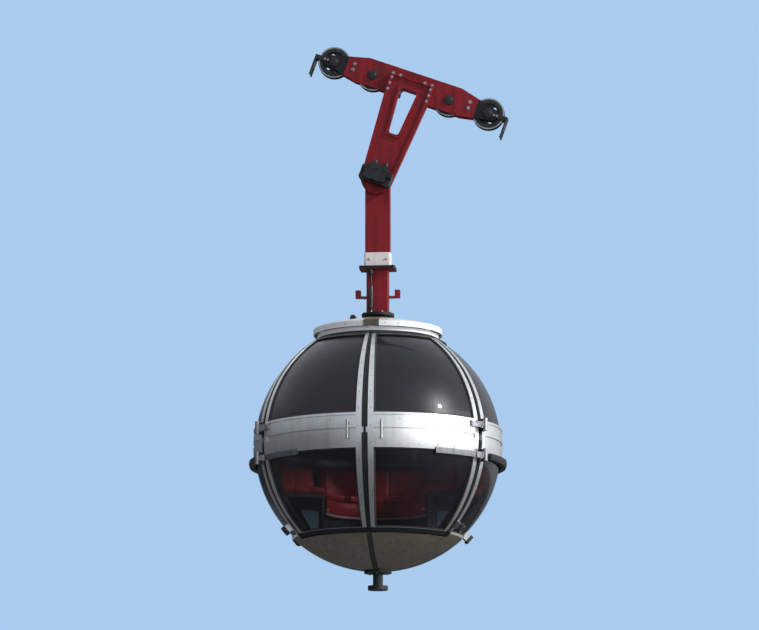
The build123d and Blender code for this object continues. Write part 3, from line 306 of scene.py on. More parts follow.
# %% [markdown]
# A small sun leaves only a small spot on polished metal. A bright cloud bank near it is what turns the
# right half of the band white, so a large soft panel stands there. It lights and is mirrored, but the
# camera looks through it, whichever side the view is from.

# %% Soft panel
PANEL_RISE = 12
PANEL_DISTANCE = 9.0
PANEL_SIZE = (16.0, 4.2)
PANEL_POWER = 400
panel = put_in_scene("panel", bpy.data.lights.new("panel", "AREA"))
panel.data.shape = "RECTANGLE"
panel.data.size, panel.data.size_y = PANEL_SIZE
panel.data.energy = PANEL_POWER
panel.location = middle + PANEL_DISTANCE * outward(SUN_ANGLE, PANEL_RISE)
look_along(panel, -outward(SUN_ANGLE, PANEL_RISE))
panel.visible_camera = False

# %% [markdown]
# The floor lies at the camera's own height, as the picture was taken from the ground. It is one-sided:
# seen from below it lets the view through, so that nobody looking up from further down meets a wall.
# Bright metal mirrors it darker than it looks, as the land below the real cabin is.

# %% Floor
FLOOR_BELOW_CAMERA = 0.05
FLOOR_RADIUS = 90
FLOOR_COLOR = (0.62, 0.65, 0.68)
SHADED_LAND = (0.06, 0.062, 0.06)
floor_height = camera.location.z - FLOOR_BELOW_CAMERA
floor_shape = bmesh.new()
bmesh.ops.create_circle(floor_shape, cap_ends=True, segments=96, radius=FLOOR_RADIUS)
bmesh.ops.translate(floor_shape, verts=floor_shape.verts, vec=(target.x, 0, floor_height))
floor = put_in_scene("floor", bpy.data.meshes.new("floor"))
floor_shape.to_mesh(floor.data)
floor_shape.free()
paint = bpy.data.materials.new("floor_paint")
paint.use_nodes = True
tree = paint.node_tree
surface = tree.nodes["Principled BSDF"]
glossy = add_node(tree, "LightPath").outputs["Is Glossy Ray"]
ground = blend_colors(tree, glossy, FLOOR_COLOR, SHADED_LAND)
join(tree, surface, {"Base Color": ground, "Roughness": 0.8})
under = add_node(tree, "NewGeometry").outputs["Backfacing"]
clear = add_node(tree, "BsdfTransparent").outputs[0]
mix = add_node(tree, "MixShader", {0: under, 1: surface.outputs[0], 2: clear})
tree.links.new(mix.outputs[0], tree.nodes["Material Output"].inputs["Surface"])
floor.data.materials.append(paint)
print("floor at", round(floor_height, 3))

# %% [markdown]
# ## Effects that several finishes share
#
# Weather touches everything on this vehicle, so each effect is one node group, made once and given
# other numbers in each material. A group only hands out colours, masks and heights. The shader stays
# in the material, where it can be read and changed.
#
# ### Weather
#
# Paint and gelcoat outdoors fade in soft patches, and rain draws dirt down in streaks. Broad noise
# gives the patches. Noise that is squeezed sideways and stretched upright gives the streaks.

# %% Weather group
weather, given, result = start_group(
    "weather",
    [("Clean", COLOR, (0.5, 0.5, 0.5, 1)), ("Faded", COLOR, (0.6, 0.6, 0.6, 1)),
     ("Dirt", COLOR, (0.06, 0.055, 0.05, 1)), ("Fading", FLOAT, 0.4), ("Streaks", FLOAT, 0.3),
     ("Size", FLOAT, 3.0)],
    [("Color", COLOR), ("Dirty", FLOAT), ("Height", FLOAT)])
patches = noise(weather, object_place(weather), given["Size"], detail=6.0, roughness=0.6)
patch_amount = calc(weather, "MULTIPLY", mask_from(weather, patches, 0.35, 0.75), given["Fading"])
faded = blend_colors(weather, patch_amount, given["Clean"], given["Faded"])
runs = noise(weather, stretched(weather, (22, 22, 1.6)), 1.0, detail=5.0)
run_amount = calc(weather, "MULTIPLY", mask_from(weather, runs, 0.48, 0.78), given["Streaks"])
dirty = blend_colors(weather, run_amount, faded, given["Dirt"])
peel = noise(weather, object_place(weather), 160.0)
join(weather, result, {"Color": dirty, "Dirty": run_amount, "Height": peel})

# %% [markdown]
# ### Scratches
#
# Fine scratches are short and lie every way. Two stretched noises at different turns, each cut to its
# thinnest ridges, cross each other as real ones do.

# %% Scratch group
scratches, given, result = start_group("scratches", [("Size", FLOAT, 1.0), ("Share", FLOAT, 0.5)],
                                       [("Mask", FLOAT)])
ridges = []
for turn, scale in (((0.4, 0.9, 0.2), (90, 4, 60)), ((1.3, 0.2, 0.8), (5, 80, 70))):
    lines = noise(scratches, stretched(scratches, scale, turn), given["Size"])
    ridges.append(mask_from(scratches, lines, 0.66, 0.72))
both = calc(scratches, "MAXIMUM", *ridges)
join(scratches, result, {"Mask": calc(scratches, "MULTIPLY", both, given["Share"])})

# %% [markdown]
# ### Recess
#
# The strips between the bright trims lie nine millimetres deeper than the trims, and are black. Depth
# below the sphere's face is all that tells them apart, so a mask of distance from the middle paints them.

# %% Recess group
recess, given, result = start_group(
    "recess", [("Middle", VECTOR, tuple(middle)), ("Radius", FLOAT, SPHERE_RADIUS),
               ("Softness", FLOAT, 0.002)],
    [("Mask", FLOAT)])
apart = add_node(recess, "VectorMath", {0: object_place(recess), 1: given["Middle"]}, operation="DISTANCE")
depth = calc(recess, "SUBTRACT", given["Radius"], apart.outputs["Value"])
join(recess, result, {"Mask": calc(recess, "DIVIDE", depth, given["Softness"], use_clamp=True)})

# %% [markdown]
# ### Grain and dust
#
# Vinyl and moulded plastic have a pebbled grain, which small rounded cells give. Dust settles where a
# surface faces up, so its mask is the upward part of the normal broken up by noise.

# %% Grain group
grain, given, result = start_group("grain", [("Size", FLOAT, 300.0)], [("Height", FLOAT)])
cells = add_node(grain, "TexVoronoi", {"Vector": object_place(grain), "Scale": given["Size"]},
                 feature="SMOOTH_F1")
join(grain, result, {"Height": cells.outputs["Distance"]})

# %% Dust group
dust, given, result = start_group("dust", [("Amount", FLOAT, 0.3), ("Size", FLOAT, 14.0)], [("Mask", FLOAT)])
facing = add_node(dust, "SeparateXYZ", {0: add_node(dust, "NewGeometry").outputs["Normal"]})
upward = mask_from(dust, facing.outputs["Z"], 0.2, 0.95)
broken = calc(dust, "MULTIPLY", upward, noise(dust, object_place(dust), given["Size"], detail=7.0))
join(dust, result, {"Mask": calc(dust, "MULTIPLY", broken, given["Amount"])})
print("node groups", [group.name for group in bpy.data.node_groups])

# %% [markdown]
# ## Finishes
#
# Each finish fills one material. All of them start alike: a new material with its shader, and the weather
# group with the row of a table that stands for its slot. A bump at the end takes heights from a group.

# %% Shared start of a finish
COAT_VALUES = ("Clean", "Faded", "Dirt", "Fading", "Streaks", "Size")
COATS = {
    "arm_paint": ((0.225, 0.008, 0.015), (0.28, 0.018, 0.025), (0.040, 0.006, 0.010), 0.5, 0.75, 3.0),
    "collar_white": ((0.84, 0.77, 0.76), (0.72, 0.66, 0.64), (0.30, 0.24, 0.22), 0.4, 0.35, 2.4),
    "roof_silver": ((0.88, 0.89, 0.90), (0.80, 0.81, 0.82), (0.50, 0.49, 0.47), 0.35, 0.22, 2.4),
    "pan_grey": ((0.105, 0.092, 0.072), (0.130, 0.115, 0.092), (0.040, 0.035, 0.028), 0.6, 0.5, 2.4),
    "trim_aluminium": ((0.70, 0.70, 0.70), (0.60, 0.60, 0.60), (0.26, 0.25, 0.23), 0.5, 0.30, 6.0),
    "smoked_glazing": ((0.006, 0.005, 0.008), (0.016, 0.014, 0.020), (0.030, 0.027, 0.025), 0.9, 0.35, 1.7),
    "steel": ((0.42, 0.42, 0.44), (0.30, 0.30, 0.31), (0.07, 0.06, 0.05), 0.7, 0.7, 9.0),
    "carriage_steel": ((0.016, 0.016, 0.018), (0.032, 0.031, 0.030), (0.008, 0.007, 0.006), 0.7, 0.7, 9.0),
    "wheel_casting": ((0.020, 0.020, 0.022), (0.05, 0.047, 0.045), (0.010, 0.008, 0.006), 0.7, 0.7, 9.0),
    "pad_rubber": ((0.013, 0.013, 0.014), (0.045, 0.043, 0.042), (0.07, 0.06, 0.05), 0.7, 0.3, 12.0),
    "bench_moulding": ((0.055, 0.055, 0.060), (0.085, 0.083, 0.085), (0.12, 0.11, 0.10), 0.6, 0.25, 5.0),
    "cushion_vinyl": ((0.62, 0.022, 0.032), (0.70, 0.050, 0.055), (0.16, 0.02, 0.02), 0.6, 0.2, 8.0),
    "floor_covering": ((0.050, 0.050, 0.055), (0.10, 0.095, 0.09), (0.12, 0.10, 0.08), 0.6, 0.2, 7.0),
}
finishes = {}


def use_group(tree, group, **values):
    return add_node(tree, "Group", values, node_tree=group).outputs


def start_finish(name, roughness, metallic=0.0, coat=None):
    """A material, listed under its slot's name: its tree, its shader and what the weather group gives."""
    material = bpy.data.materials.new(name)
    material.use_nodes = True
    tree = material.node_tree
    shader = tree.nodes["Principled BSDF"]
    join(tree, shader, {"Roughness": roughness, "Metallic": metallic})
    finishes[name] = material
    return tree, shader, use_group(tree, weather, **dict(zip(COAT_VALUES, COATS[coat or name])))


def bump(tree, shader, height, strength, distance):
    made = add_node(tree, "Bump", {"Height": height, "Strength": strength, "Distance": distance})
    tree.links.new(made.outputs[0], shader.inputs["Normal"])


def above(tree, height, softness=0.001):
    """A mask of 1 above a height."""
    parts = add_node(tree, "SeparateXYZ", {0: object_place(tree)})
    return mask_from(tree, parts.outputs["Z"], height - softness, height + softness)


def outside(tree, low, high):
    """A mask of 1 below one height and above another."""
    return calc(tree, "MAXIMUM", inverse(tree, above(tree, low)), above(tree, high))


# %% [markdown]
# ### Dark red paint
#
# The hanger, fork and carriage carry two-part paint over steel: half gloss, slightly uneven from the
# spray gun, chalky where the sun reaches and chipped to grey primer in fine scratches. Some places are
# made black. The foot and the flange of the knuckle are black partly as dark steel and partly as painted
# shade. The ends of the cheeks over the outer wheels are in black primer. Their materials ask how high a
# point lies, or how far out along the rope.

# %% Arm paint
BLACK_PRIMER_AND_SHADE = (0.010, 0.009, 0.011)
GREY_PRIMER = (0.16, 0.10, 0.10)
RED_DUST = (0.24, 0.14, 0.13)
FOOT_THICKNESS = 0.022
FLANGE_THICKNESS = 0.026
BLACK_ENDS = 0.56


def far_along(tree, start):
    """A mask of 1 further out than start along the rope, at both ends."""
    along = add_node(tree, "VectorMath", {0: object_place(tree), 1: rope_way}, operation="DOT_PRODUCT")
    return mask_from(tree, calc(tree, "ABSOLUTE", along.outputs["Value"]), start, start + 0.002)


def red_paint(name, blackened=None):
    """The dark red paint, turned black where a given function of the tree puts its mask: black paint, and on
    the knuckle partly painted shade.
    """
    tree, shader, coat = start_finish(name, 0.45, coat="arm_paint")
    marks = use_group(tree, scratches, Size=1.0, Share=0.22)["Mask"]
    settled = use_group(tree, dust, Amount=0.25)["Mask"]
    painted = blend_colors(tree, marks, coat["Color"], GREY_PRIMER)
    painted = blend_colors(tree, settled, painted, RED_DUST)
    if blackened:
        painted = blend_colors(tree, blackened(tree), painted, BLACK_PRIMER_AND_SHADE)
    join(tree, shader, {"Base Color": painted, "Roughness": spread(tree, coat["Dirty"], 0.44, 0.66),
         "Specular IOR Level": 0.28})
    bump(tree, shader, coat["Height"], 0.25, 0.002)


knuckle_low, knuckle_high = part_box("hanger_knuckle")
foot_top = knuckle_low.z + FOOT_THICKNESS
flange_under = knuckle_high.z - FLANGE_THICKNESS
red_paint("arm_paint")
# The knuckle's foot and flange: black that is partly dark steel and partly painted shade.
red_paint("knuckle_paint", lambda tree: outside(tree, foot_top, flange_under))
red_paint("cheek_paint", lambda tree: far_along(tree, BLACK_ENDS))

# %% [markdown]
# ### Pale plastic, cap and pan
#
# The collar is a satin plastic sleeve. The roof cap is white gelcoat, and the floor pan the same
# material in a grey-brown that hides the dirt. A pale band round the pan's upper edge is a painted
# highlight, where that edge catches the light. One recipe makes all three, from a clean and a dirty
# roughness.

# %% Gelcoat and sleeve
GELCOAT_DUST = (0.45, 0.42, 0.38)
LIP_HIGHLIGHT = (0.44, 0.42, 0.38)
LIP_HIGHLIGHT_HALF = 0.016
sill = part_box("floor_pan")[1].z
for name, low, high in (("collar_white", 0.40, 0.70), ("roof_silver", 0.24, 0.55), ("pan_grey", 0.42, 0.7)):
    tree, shader, coat = start_finish(name, low)
    settled = use_group(tree, dust, Amount=0.3)["Mask"]
    coated = blend_colors(tree, settled, coat["Color"], GELCOAT_DUST)
    if name == "pan_grey":
        # A pale band round the pan's upper edge: painted highlight where that edge catches the light.
        rim = inverse(tree, outside(tree, sill - LIP_HIGHLIGHT_HALF, sill + LIP_HIGHLIGHT_HALF))
        coated = blend_colors(tree, rim, coated, LIP_HIGHLIGHT)
        join(tree, shader, {"Specular IOR Level": 0.25})
    join(tree, shader, {"Base Color": coated, "Roughness": spread(tree, coat["Dirty"], low, high)})
    bump(tree, shader, coat["Height"], 0.12, 0.002)

# %% [markdown]
# ### Bright trim
#
# The ribs, the band and the door frames are brushed extrusions under a milky anodised skin, so they
# mirror most of the light and scatter the rest. Brushing runs along each length, so the grain is noise
# stretched upright. What lies deeper than the trims is painted black, except the groove round the band,
# and so are the cross rails above and below the panes. The crown ring is lacquered white like the cap.

# %% Trim aluminium
TRIM_FACE = 0.9945
PANE_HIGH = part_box("glass_upper")[1].z - middle.z
PANE_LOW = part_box("glass_lower")[0].z - middle.z
RAIL_GAP = 0.002
RAIL_TOP = 0.8715
GROOVE_HALF = 0.022
WHITE_LACQUER = (0.86, 0.87, 0.88)
TRIM_BLACK = (0.012, 0.012, 0.014)
tree, shader, coat = start_finish("trim_aluminium", 0.5)
sunk = use_group(tree, recess, Radius=TRIM_FACE)["Mask"]
painted = calc(tree, "MULTIPLY", outside(tree, middle.z - GROOVE_HALF, middle.z + GROOVE_HALF), sunk)
rails = outside(tree, middle.z + PANE_LOW - RAIL_GAP, middle.z + PANE_HIGH + RAIL_GAP)
crown = above(tree, middle.z + RAIL_TOP)
black = calc(tree, "MAXIMUM", calc(tree, "MULTIPLY", rails, inverse(tree, crown)), painted)
brushing = noise(tree, stretched(tree, (320, 320, 14)), 1.0, detail=3.0)
lacquered = blend_colors(tree, crown, coat["Color"], WHITE_LACQUER)
covered = calc(tree, "MAXIMUM", black, crown)
polish = calc(tree, "ADD", spread(tree, brushing, 0.28, 0.46), spread(tree, black, 0.0, 0.2))
join(tree, shader, {"Base Color": blend_colors(tree, black, lacquered, TRIM_BLACK),
     "Metallic": spread(tree, covered, 0.85, 0.0), "Roughness": polish})
bump(tree, shader, brushing, 0.08, 0.001)

# %% [markdown]
# ### Smoked glazing
#
# The panes are tinted acrylic, six millimetres thick. Bending of light in so thin a pane can't be
# seen, so the tint is a share of plain transparency, which lets the seats show and stays free of
# speckle. It is clearer towards the sill. The tint is a mirror film that darkens the view in, and lets
# more of the light through from outside, so rays that carry light in meet less of it. Two layers make
# the gloss: a clear coat for the sharp glint, and under it a surface hazed by years of washing, which
# spreads the sun to a soft glow.

# %% Glazing
OPACITY_LOW, OPACITY_HIGH = 0.56, 0.86
GRADE_MIDDLE, GRADE_HALF = -0.36, 0.13
FILM_SHARE = 0.75
HAZE, MORE_HAZE = 0.34, 0.12
tree, shader, film = start_finish("smoked_glazing", HAZE)
graded = above(tree, middle.z + GRADE_MIDDLE, softness=GRADE_HALF)
opacity = spread(tree, graded, OPACITY_LOW, OPACITY_HIGH)
rays = add_node(tree, "LightPath").outputs
carries = calc(tree, "MAXIMUM", rays["Is Shadow Ray"], rays["Is Diffuse Ray"])
alpha = calc(tree, "MULTIPLY", opacity, spread(tree, carries, 1.0, 1.0 - FILM_SHARE))
marks = use_group(tree, scratches, Size=0.7, Share=0.5)["Mask"]
haze = calc(tree, "ADD", spread(tree, film["Dirty"], HAZE, HAZE + MORE_HAZE),
            spread(tree, marks, 0.0, MORE_HAZE))
join(tree, shader, {"Base Color": film["Color"], "Roughness": haze, "Alpha": alpha,
     "Coat Weight": spread(tree, film["Dirty"], 0.45, 0.15), "Coat Roughness": 0.025,
     "Specular IOR Level": 0.22})

# %% [markdown]
# ### Bare and dark metals
#
# Hinges, handles and pins are brushed stainless steel. The grip and dampers are dark painted steel with
# grease on it, and the wheels are castings. One recipe again: each has its metallic share, a clean and a
# dirty roughness, and a share of scratches.

# %% Metals
SCRATCH_COLOR = (0.30, 0.30, 0.30)
for name, metallic, low, high, share in (("steel", 0.95, 0.32, 0.58, 0.4),
                                         ("carriage_steel", 0.3, 0.4, 0.62, 0.1),
                                         ("wheel_casting", 0.4, 0.4, 0.65, 0.12)):
    tree, shader, coat = start_finish(name, low, metallic)
    marks = use_group(tree, scratches, Size=1.4, Share=share)["Mask"]
    join(tree, shader, {"Base Color": blend_colors(tree, marks, coat["Color"], SCRATCH_COLOR),
         "Roughness": spread(tree, coat["Dirty"], low, high)})
    bump(tree, shader, coat["Height"], 0.3, 0.0015)

# %% [markdown]
# ### Rubber, mouldings, vinyl and floor
#
# Rubber is black and matt with a chalky bloom. The bench and ceiling are dark moulded plastic, and the
# seats are covered in vinyl of the hanger's red, which shines a little more on the worn tops and has a
# soft sheen where it turns away. All three have a pebble grain of their own size and depth. The floor
# covering has raised round studs, which a cell pattern cut off flat gives.

# %% Rubber, moulding and vinyl
for name, roughness, pebble_size, strength in (("pad_rubber", 0.72, 500.0, 0.2),
                                               ("bench_moulding", 0.5, 260.0, 0.25),
                                               ("cushion_vinyl", 0.42, 420.0, 0.35)):
    tree, shader, coat = start_finish(name, roughness)
    pebbles = use_group(tree, grain, Size=pebble_size)["Height"]
    join(tree, shader, {"Base Color": coat["Color"]})
    bump(tree, shader, pebbles, strength, 0.001)
    if name == "bench_moulding":
        join(tree, shader, {"Roughness": spread(tree, coat["Dirty"], 0.45, 0.7)})
    if name == "cushion_vinyl":
        join(tree, shader, {"Roughness": spread(tree, pebbles, 0.36, 0.56), "Sheen Weight": 0.15})

# %% Floor covering
STUD_TOP, STUD_FOOT = 0.30, 0.36
tree, shader, coat = start_finish("floor_covering", 0.66)
studs = add_node(tree, "TexVoronoi", {"Vector": object_place(tree), "Scale": 32.0, "Randomness": 0.0})
join(tree, shader, {"Base Color": coat["Color"]})
bump(tree, shader, spread(tree, studs.outputs["Distance"], 1.0, 0.0, STUD_TOP, STUD_FOOT), 0.6, 0.003)

# %% [markdown]
# ### Give the construction pieces their finishes
#
# The record says which finish each node takes, so the pairing isn't typed again here. Only the knuckle
# and the cheeks get their own kind of the red paint, with the black parts.

# %% Assign finishes
OWN_PAINT = {"hanger_knuckle": "knuckle_paint", "cheek_door_side": "cheek_paint",
             "cheek_far_side": "cheek_paint"}
for part in frame["record"]["subparts"]:
    node = frame["nodes"][part["node"]]
    node.data.materials.clear()
    node.data.materials.append(finishes[OWN_PAINT.get(part["node"], part["material_slot"])])
print("finishes", sorted(finishes))

# %% [markdown]
# ## Tools for new pieces
#
# Every new piece is drawn in one bmesh in its final place, then handed to one function that turns
# its faces outwards, smooths what is round, gives it its finish and lets it ride on its body.

# %% Finish a piece


def add_piece(name, shape, body, slot, crease=35, replaced=()):
    """Makes an object of a bmesh, with its finish and its body."""
    bmesh.ops.remove_doubles(shape, verts=shape.verts, dist=0.00002)
    bmesh.ops.recalc_face_normals(shape, faces=shape.faces)
    mesh = bpy.data.meshes.new(name)
    shape.to_mesh(mesh)
    shape.free()
    mesh.shade_smooth()
    mesh.set_sharp_from_angle(angle=radians(crease))
    piece = put_in_scene(name, mesh)
    mesh.materials.append(finishes[slot])
    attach(piece, body)
    if replaced:
        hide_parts(*replaced)
    print(name, "faces", len(mesh.polygons))


# %% [markdown]
# Most fittings here are turned, or run round a circle. Both come from one move, the spin. A closed
# outline that swings over a part of a turn leaves its first and last outline as the end faces. A turned
# solid swings only the edges of half its section over a full turn, and the ends merge.

# %% Spin an outline


def swing(shape, points, centre, axis, angle, steps):
    """A solid made by swinging a closed outline about an axis, over less than a full turn."""
    corners = [shape.verts.new(point) for point in points]
    outline = shape.faces.new(corners)
    bmesh.ops.spin(shape, geom=list(outline.edges) + corners + [outline], cent=centre, axis=axis,
                   angle=angle, steps=steps, use_merge=False)


def turned(shape, place, section, steps=32):
    """A turned solid on a frame's Z axis. Its section lists (radius, height), from the axis or as a ring."""
    points = [place @ Vector((radius, 0, height)) for radius, height in section]
    corners = [shape.verts.new(point) for point in points]
    edges = [shape.edges.new(pair) for pair in zip(corners, corners[1:])]
    if section[0][0] > 0:
        edges.append(shape.edges.new((corners[-1], corners[0])))
    bmesh.ops.spin(shape, geom=edges + corners, cent=place.translation, axis=place.col[2].to_3d(),
                   angle=2 * pi, steps=steps, use_merge=True)


# %% [markdown]
# Bolts are the same everywhere: a washer and a six-sided head with its corners eased. Screws on the thin
# trims have a low round head.

# %% Bolts and screws
WASHER_SHARE, WASHER_HEIGHT, HEAD_HEIGHT = 1.35, 0.22, 0.75


def add_bolt(shape, place, radius):
    """A hexagon head on its washer, standing on a frame's XY plane."""
    turned(shape, place, [(0, 0), (WASHER_SHARE * radius, 0), (WASHER_SHARE * radius, WASHER_HEIGHT * radius),
                          (0, WASHER_HEIGHT * radius)], steps=16)
    rise = Matrix.Translation((0, 0, (WASHER_HEIGHT + HEAD_HEIGHT / 2) * radius))
    head = bmesh.ops.create_cone(shape, cap_ends=True, segments=6, radius1=radius, radius2=radius,
                                 depth=HEAD_HEIGHT * radius, matrix=place @ rise)
    rim = dict.fromkeys(edge for corner in head["verts"] for edge in corner.link_edges)
    bmesh.ops.bevel(shape, geom=list(rim), offset=0.1 * radius, affect="EDGES", segments=1, profile=0.5,
                    material=-1)


def add_bolts(shape, places, radius):
    for place in places:
        add_bolt(shape, place, radius)


def add_screws(shape, places, radius):
    """Low round heads, in frames like those of the bolts."""
    for place in places:
        turned(shape, place, [(0, -0.001), (radius, -0.001), (radius, 0.15 * radius),
                              (0.75 * radius, 0.4 * radius), (0.35 * radius, 0.52 * radius),
                              (0, 0.55 * radius)], steps=12)


def shifted(place, x, y, z=0.0):
    """A frame moved within itself."""
    return place @ Matrix.Translation((x, y, z))


def circle_of(place, count, radius, start=0.0, rise=0.0):
    """Frames on a circle about another frame's Z axis."""
    turns = [Matrix.Rotation(start + 2 * pi * step / count, 4, "Z") for step in range(count)]
    return [shifted(place @ turn, radius, 0, rise) for turn in turns]


# %% [markdown]
# ## Rubber round the panes
#
# Each pane sits in a black rubber profile, pressed in between the acrylic and the metal. The profile runs
# up both sides on a meridian and along the top and bottom on a level circle. A low trapezoid is its
# section, and it swings about the level axis for a side and about the upright one for a top or bottom.

# %% Pane seals
RIB_SPACING = 60
RIB_HALF = 4
FIXED_BAYS = (60, 120, 180, 240)
DOORS = (("door_right", 1), ("door_left", -1))
BAND_HALF = 0.138
PANE_FACE = 0.986
SEAL_TOP = 0.9955
SEAL_WIDTH = 0.013
SEAL_SECTION = ((PANE_FACE - 0.001, 0), (SEAL_TOP, 0), (SEAL_TOP, 0.55), (PANE_FACE, 1),
                (PANE_FACE - 0.001, 1))


def latitude_at(height, radius=PANE_FACE):
    """The latitude in radians of a height on a sphere."""
    return Vector((sqrt(radius * radius - height * height), height)).angle_signed(Vector((1, 0)))


def side_seal(shape, angle, low, high, way):
    """A rubber length up one meridian, on the side that way (1 or -1) says."""
    side, start, end = sideways(angle), latitude_at(low), latitude_at(high)
    out = outward(angle, start * 180 / pi)
    points = [middle + radius * out + way * share * SEAL_WIDTH * side for radius, share in SEAL_SECTION]
    swing(shape, points, middle, side, start - end, 28)


def level_seal(shape, first, last, height, way):
    """A rubber length along a level circle, above or below its height as way (1 or -1) says."""
    points = [at_height(first, radius, height + way * share * SEAL_WIDTH) for radius, share in SEAL_SECTION]
    swing(shape, points, middle, UP, radians(last - first), 22)


def pane_seals(shape, bay):
    """The seals of the two panes in the bay that starts at an angle."""
    first, last = bay + RIB_HALF, bay + RIB_SPACING - RIB_HALF
    for low, high in ((PANE_LOW, -BAND_HALF), (BAND_HALF, PANE_HIGH)):
        side_seal(shape, first, low, high, 1)
        side_seal(shape, last, low, high, -1)
        level_seal(shape, first, last, low, 1)
        level_seal(shape, first, last, high, -1)


seals = bmesh.new()
for bay in FIXED_BAYS:
    pane_seals(seals, bay)
add_piece("pane_seals_fixed", seals, "cabin", "pad_rubber")
for body, way in DOORS:
    seals = bmesh.new()
    pane_seals(seals, min(0, way * RIB_SPACING))
    add_piece("pane_seals_" + body, seals, body, "pad_rubber")

# %% [markdown]
# ## Black strips
#
# Between the two trims of each fixed rib lies a rubber cover strip with a rounded back. Where the doors
# meet, each leaf has a soft bead instead. Narrow strips carry the lines at the front and the back on over
# the pan to the guide pin. Each is one section that swings up its meridian.

# %% Cover strips on the ribs
INFILL_FACE = 0.991
STRIP_FACE = 0.9965
CROWN_LATITUDE = 60.7
SILL_LATITUDE = -50.0


def meridian_strip(shape, angle, low, high, width, inner, outer, offset=0.0):
    """A strip with a rounded back along a meridian, between two latitudes in degrees."""
    out, side = outward(angle, low), sideways(angle)
    section = ((-0.5, inner), (-0.5, inner + 0.5 * (outer - inner)), (-0.3, outer), (0.3, outer),
               (0.5, inner + 0.5 * (outer - inner)), (0.5, inner))
    points = [middle + radius * out + (offset + share * width) * side for share, radius in section]
    swing(shape, points, middle, side, -radians(high - low), 40)


strips = bmesh.new()
for angle, width, offset in ((120, 0.019, 0), (180, 0.019, 0), (240, 0.019, 0), (60, 0.009, 0.0055),
                             (300, 0.009, -0.0055)):
    meridian_strip(strips, angle, SILL_LATITUDE + 0.1, CROWN_LATITUDE - 0.1, width, INFILL_FACE - 0.001,
                   STRIP_FACE, offset)
add_piece("rib_cover_strips", strips, "cabin", "pad_rubber")

# %% Beads where the doors meet
MEETING_GAP = 0.0004
BEAD_WIDTH = 0.0104
BEAD_FOOT, BEAD_FACE = 0.972, 0.9975
for body, way in DOORS:
    bead = bmesh.new()
    meridian_strip(bead, 0, SILL_LATITUDE + 0.7, CROWN_LATITUDE - 0.9, BEAD_WIDTH, BEAD_FOOT, BEAD_FACE,
                   offset=way * (MEETING_GAP + BEAD_WIDTH / 2))
    add_piece("meeting_bead_" + body, bead, body, "pad_rubber")

# %% Strips over the pan
GUIDE_FLANGE_LATITUDE = -83.4
PAN_STRIP_WIDTH = 0.042
spine = bmesh.new()
for angle in (0, 180):
    meridian_strip(spine, angle, GUIDE_FLANGE_LATITUDE, SILL_LATITUDE - 0.2, PAN_STRIP_WIDTH, 0.9992, 1.003)
add_piece("pan_strips", spine, "cabin", "pad_rubber")

# %% [markdown]
# Over the cap, from its skirt to the hanger's foot, lies a flat grey-brown cover as wide as both trims,
# at the front and at the back. The cap is a shallow dome, so a cover swings about the dome's own middle,
# which its reach and rise give, and a thin block carries it down over the skirt.

# %% Covers over the cap
COVER_WIDTH = 0.124
COVER_HEIGHT = 0.004
CAP_SKIRT = 0.045
CAP_RISE = 0.085
HUB_RADIUS = 0.110
cap_low, cap_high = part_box("roof_cap")
cap_reach = (cap_high.y - cap_low.y) / 2
cap_radius = (cap_reach ** 2 + CAP_RISE ** 2) / (2 * CAP_RISE)
cap_top = cap_low.z + CAP_SKIRT + CAP_RISE
skirt_middle = cap_low.z + CAP_SKIRT / 2
cap_middle = on_axis(cap_top - cap_radius)
cap_edge = Vector((cap_reach, cap_radius - CAP_RISE)).angle_signed(Vector((0, 1)))
hub_edge = HUB_RADIUS / cap_radius
COVER_SECTION = ((-0.5, -0.004), (-0.5, 0.4 * COVER_HEIGHT), (-0.46, COVER_HEIGHT), (0.46, COVER_HEIGHT),
                 (0.5, 0.4 * COVER_HEIGHT), (0.5, -0.004))
covers = bmesh.new()
for angle in (0, 180):
    side, out = sideways(angle), outward(angle)
    start = cos(hub_edge) * UP + sin(hub_edge) * out
    points = [cap_middle + (cap_radius + rise) * start + share * COVER_WIDTH * side
              for share, rise in COVER_SECTION]
    swing(covers, points, cap_middle, side, abs(cap_edge) - hub_edge, 16)
    apron = bmesh.ops.create_cube(covers, size=1)
    size = Matrix.Diagonal((COVER_WIDTH, 2 * COVER_HEIGHT, CAP_SKIRT + 0.003, 1))
    place = frame_at(on_axis(skirt_middle) + cap_reach * out, UP, side)
    bmesh.ops.transform(covers, verts=apron["verts"], matrix=place @ size)
add_piece("cap_covers", covers, "cabin", "pan_grey")

# %% [markdown]
# ## Screws along the trims
#
# Small round heads hold the trims and the band. There are a few hundred, so each has only a few dozen
# faces, and they are joined into one piece a body.

# %% Trim screws
SCREW_RADIUS = 0.0052
TRIM_MIDDLE = 2.7
TRIM_LATITUDES = range(-46, 60, 8)
BAND_LATITUDES = (-6.2, 5.0)


def screw_grid(shape, angles, latitudes):
    places = [on_sphere(angle, latitude) for angle in angles for latitude in latitudes]
    add_screws(shape, places, SCREW_RADIUS)


screws = bmesh.new()
both_sides = [angle + side for angle in (60, 120, 180, 240, 300) for side in (-TRIM_MIDDLE, TRIM_MIDDLE)]
screw_grid(screws, both_sides[1:-1], TRIM_LATITUDES)
screw_grid(screws, [bay + step for bay in FIXED_BAYS for step in range(7, 54, 9)], BAND_LATITUDES)
add_piece("trim_screws_fixed", screws, "cabin", "steel")
for body, way in DOORS:
    screws = bmesh.new()
    screw_grid(screws, (way * TRIM_MIDDLE, way * (RIB_SPACING - TRIM_MIDDLE)), TRIM_LATITUDES)
    screw_grid(screws, [way * step for step in (16, 25, 34, 43)], BAND_LATITUDES)
    add_piece("trim_screws_" + body, screws, body, "steel")

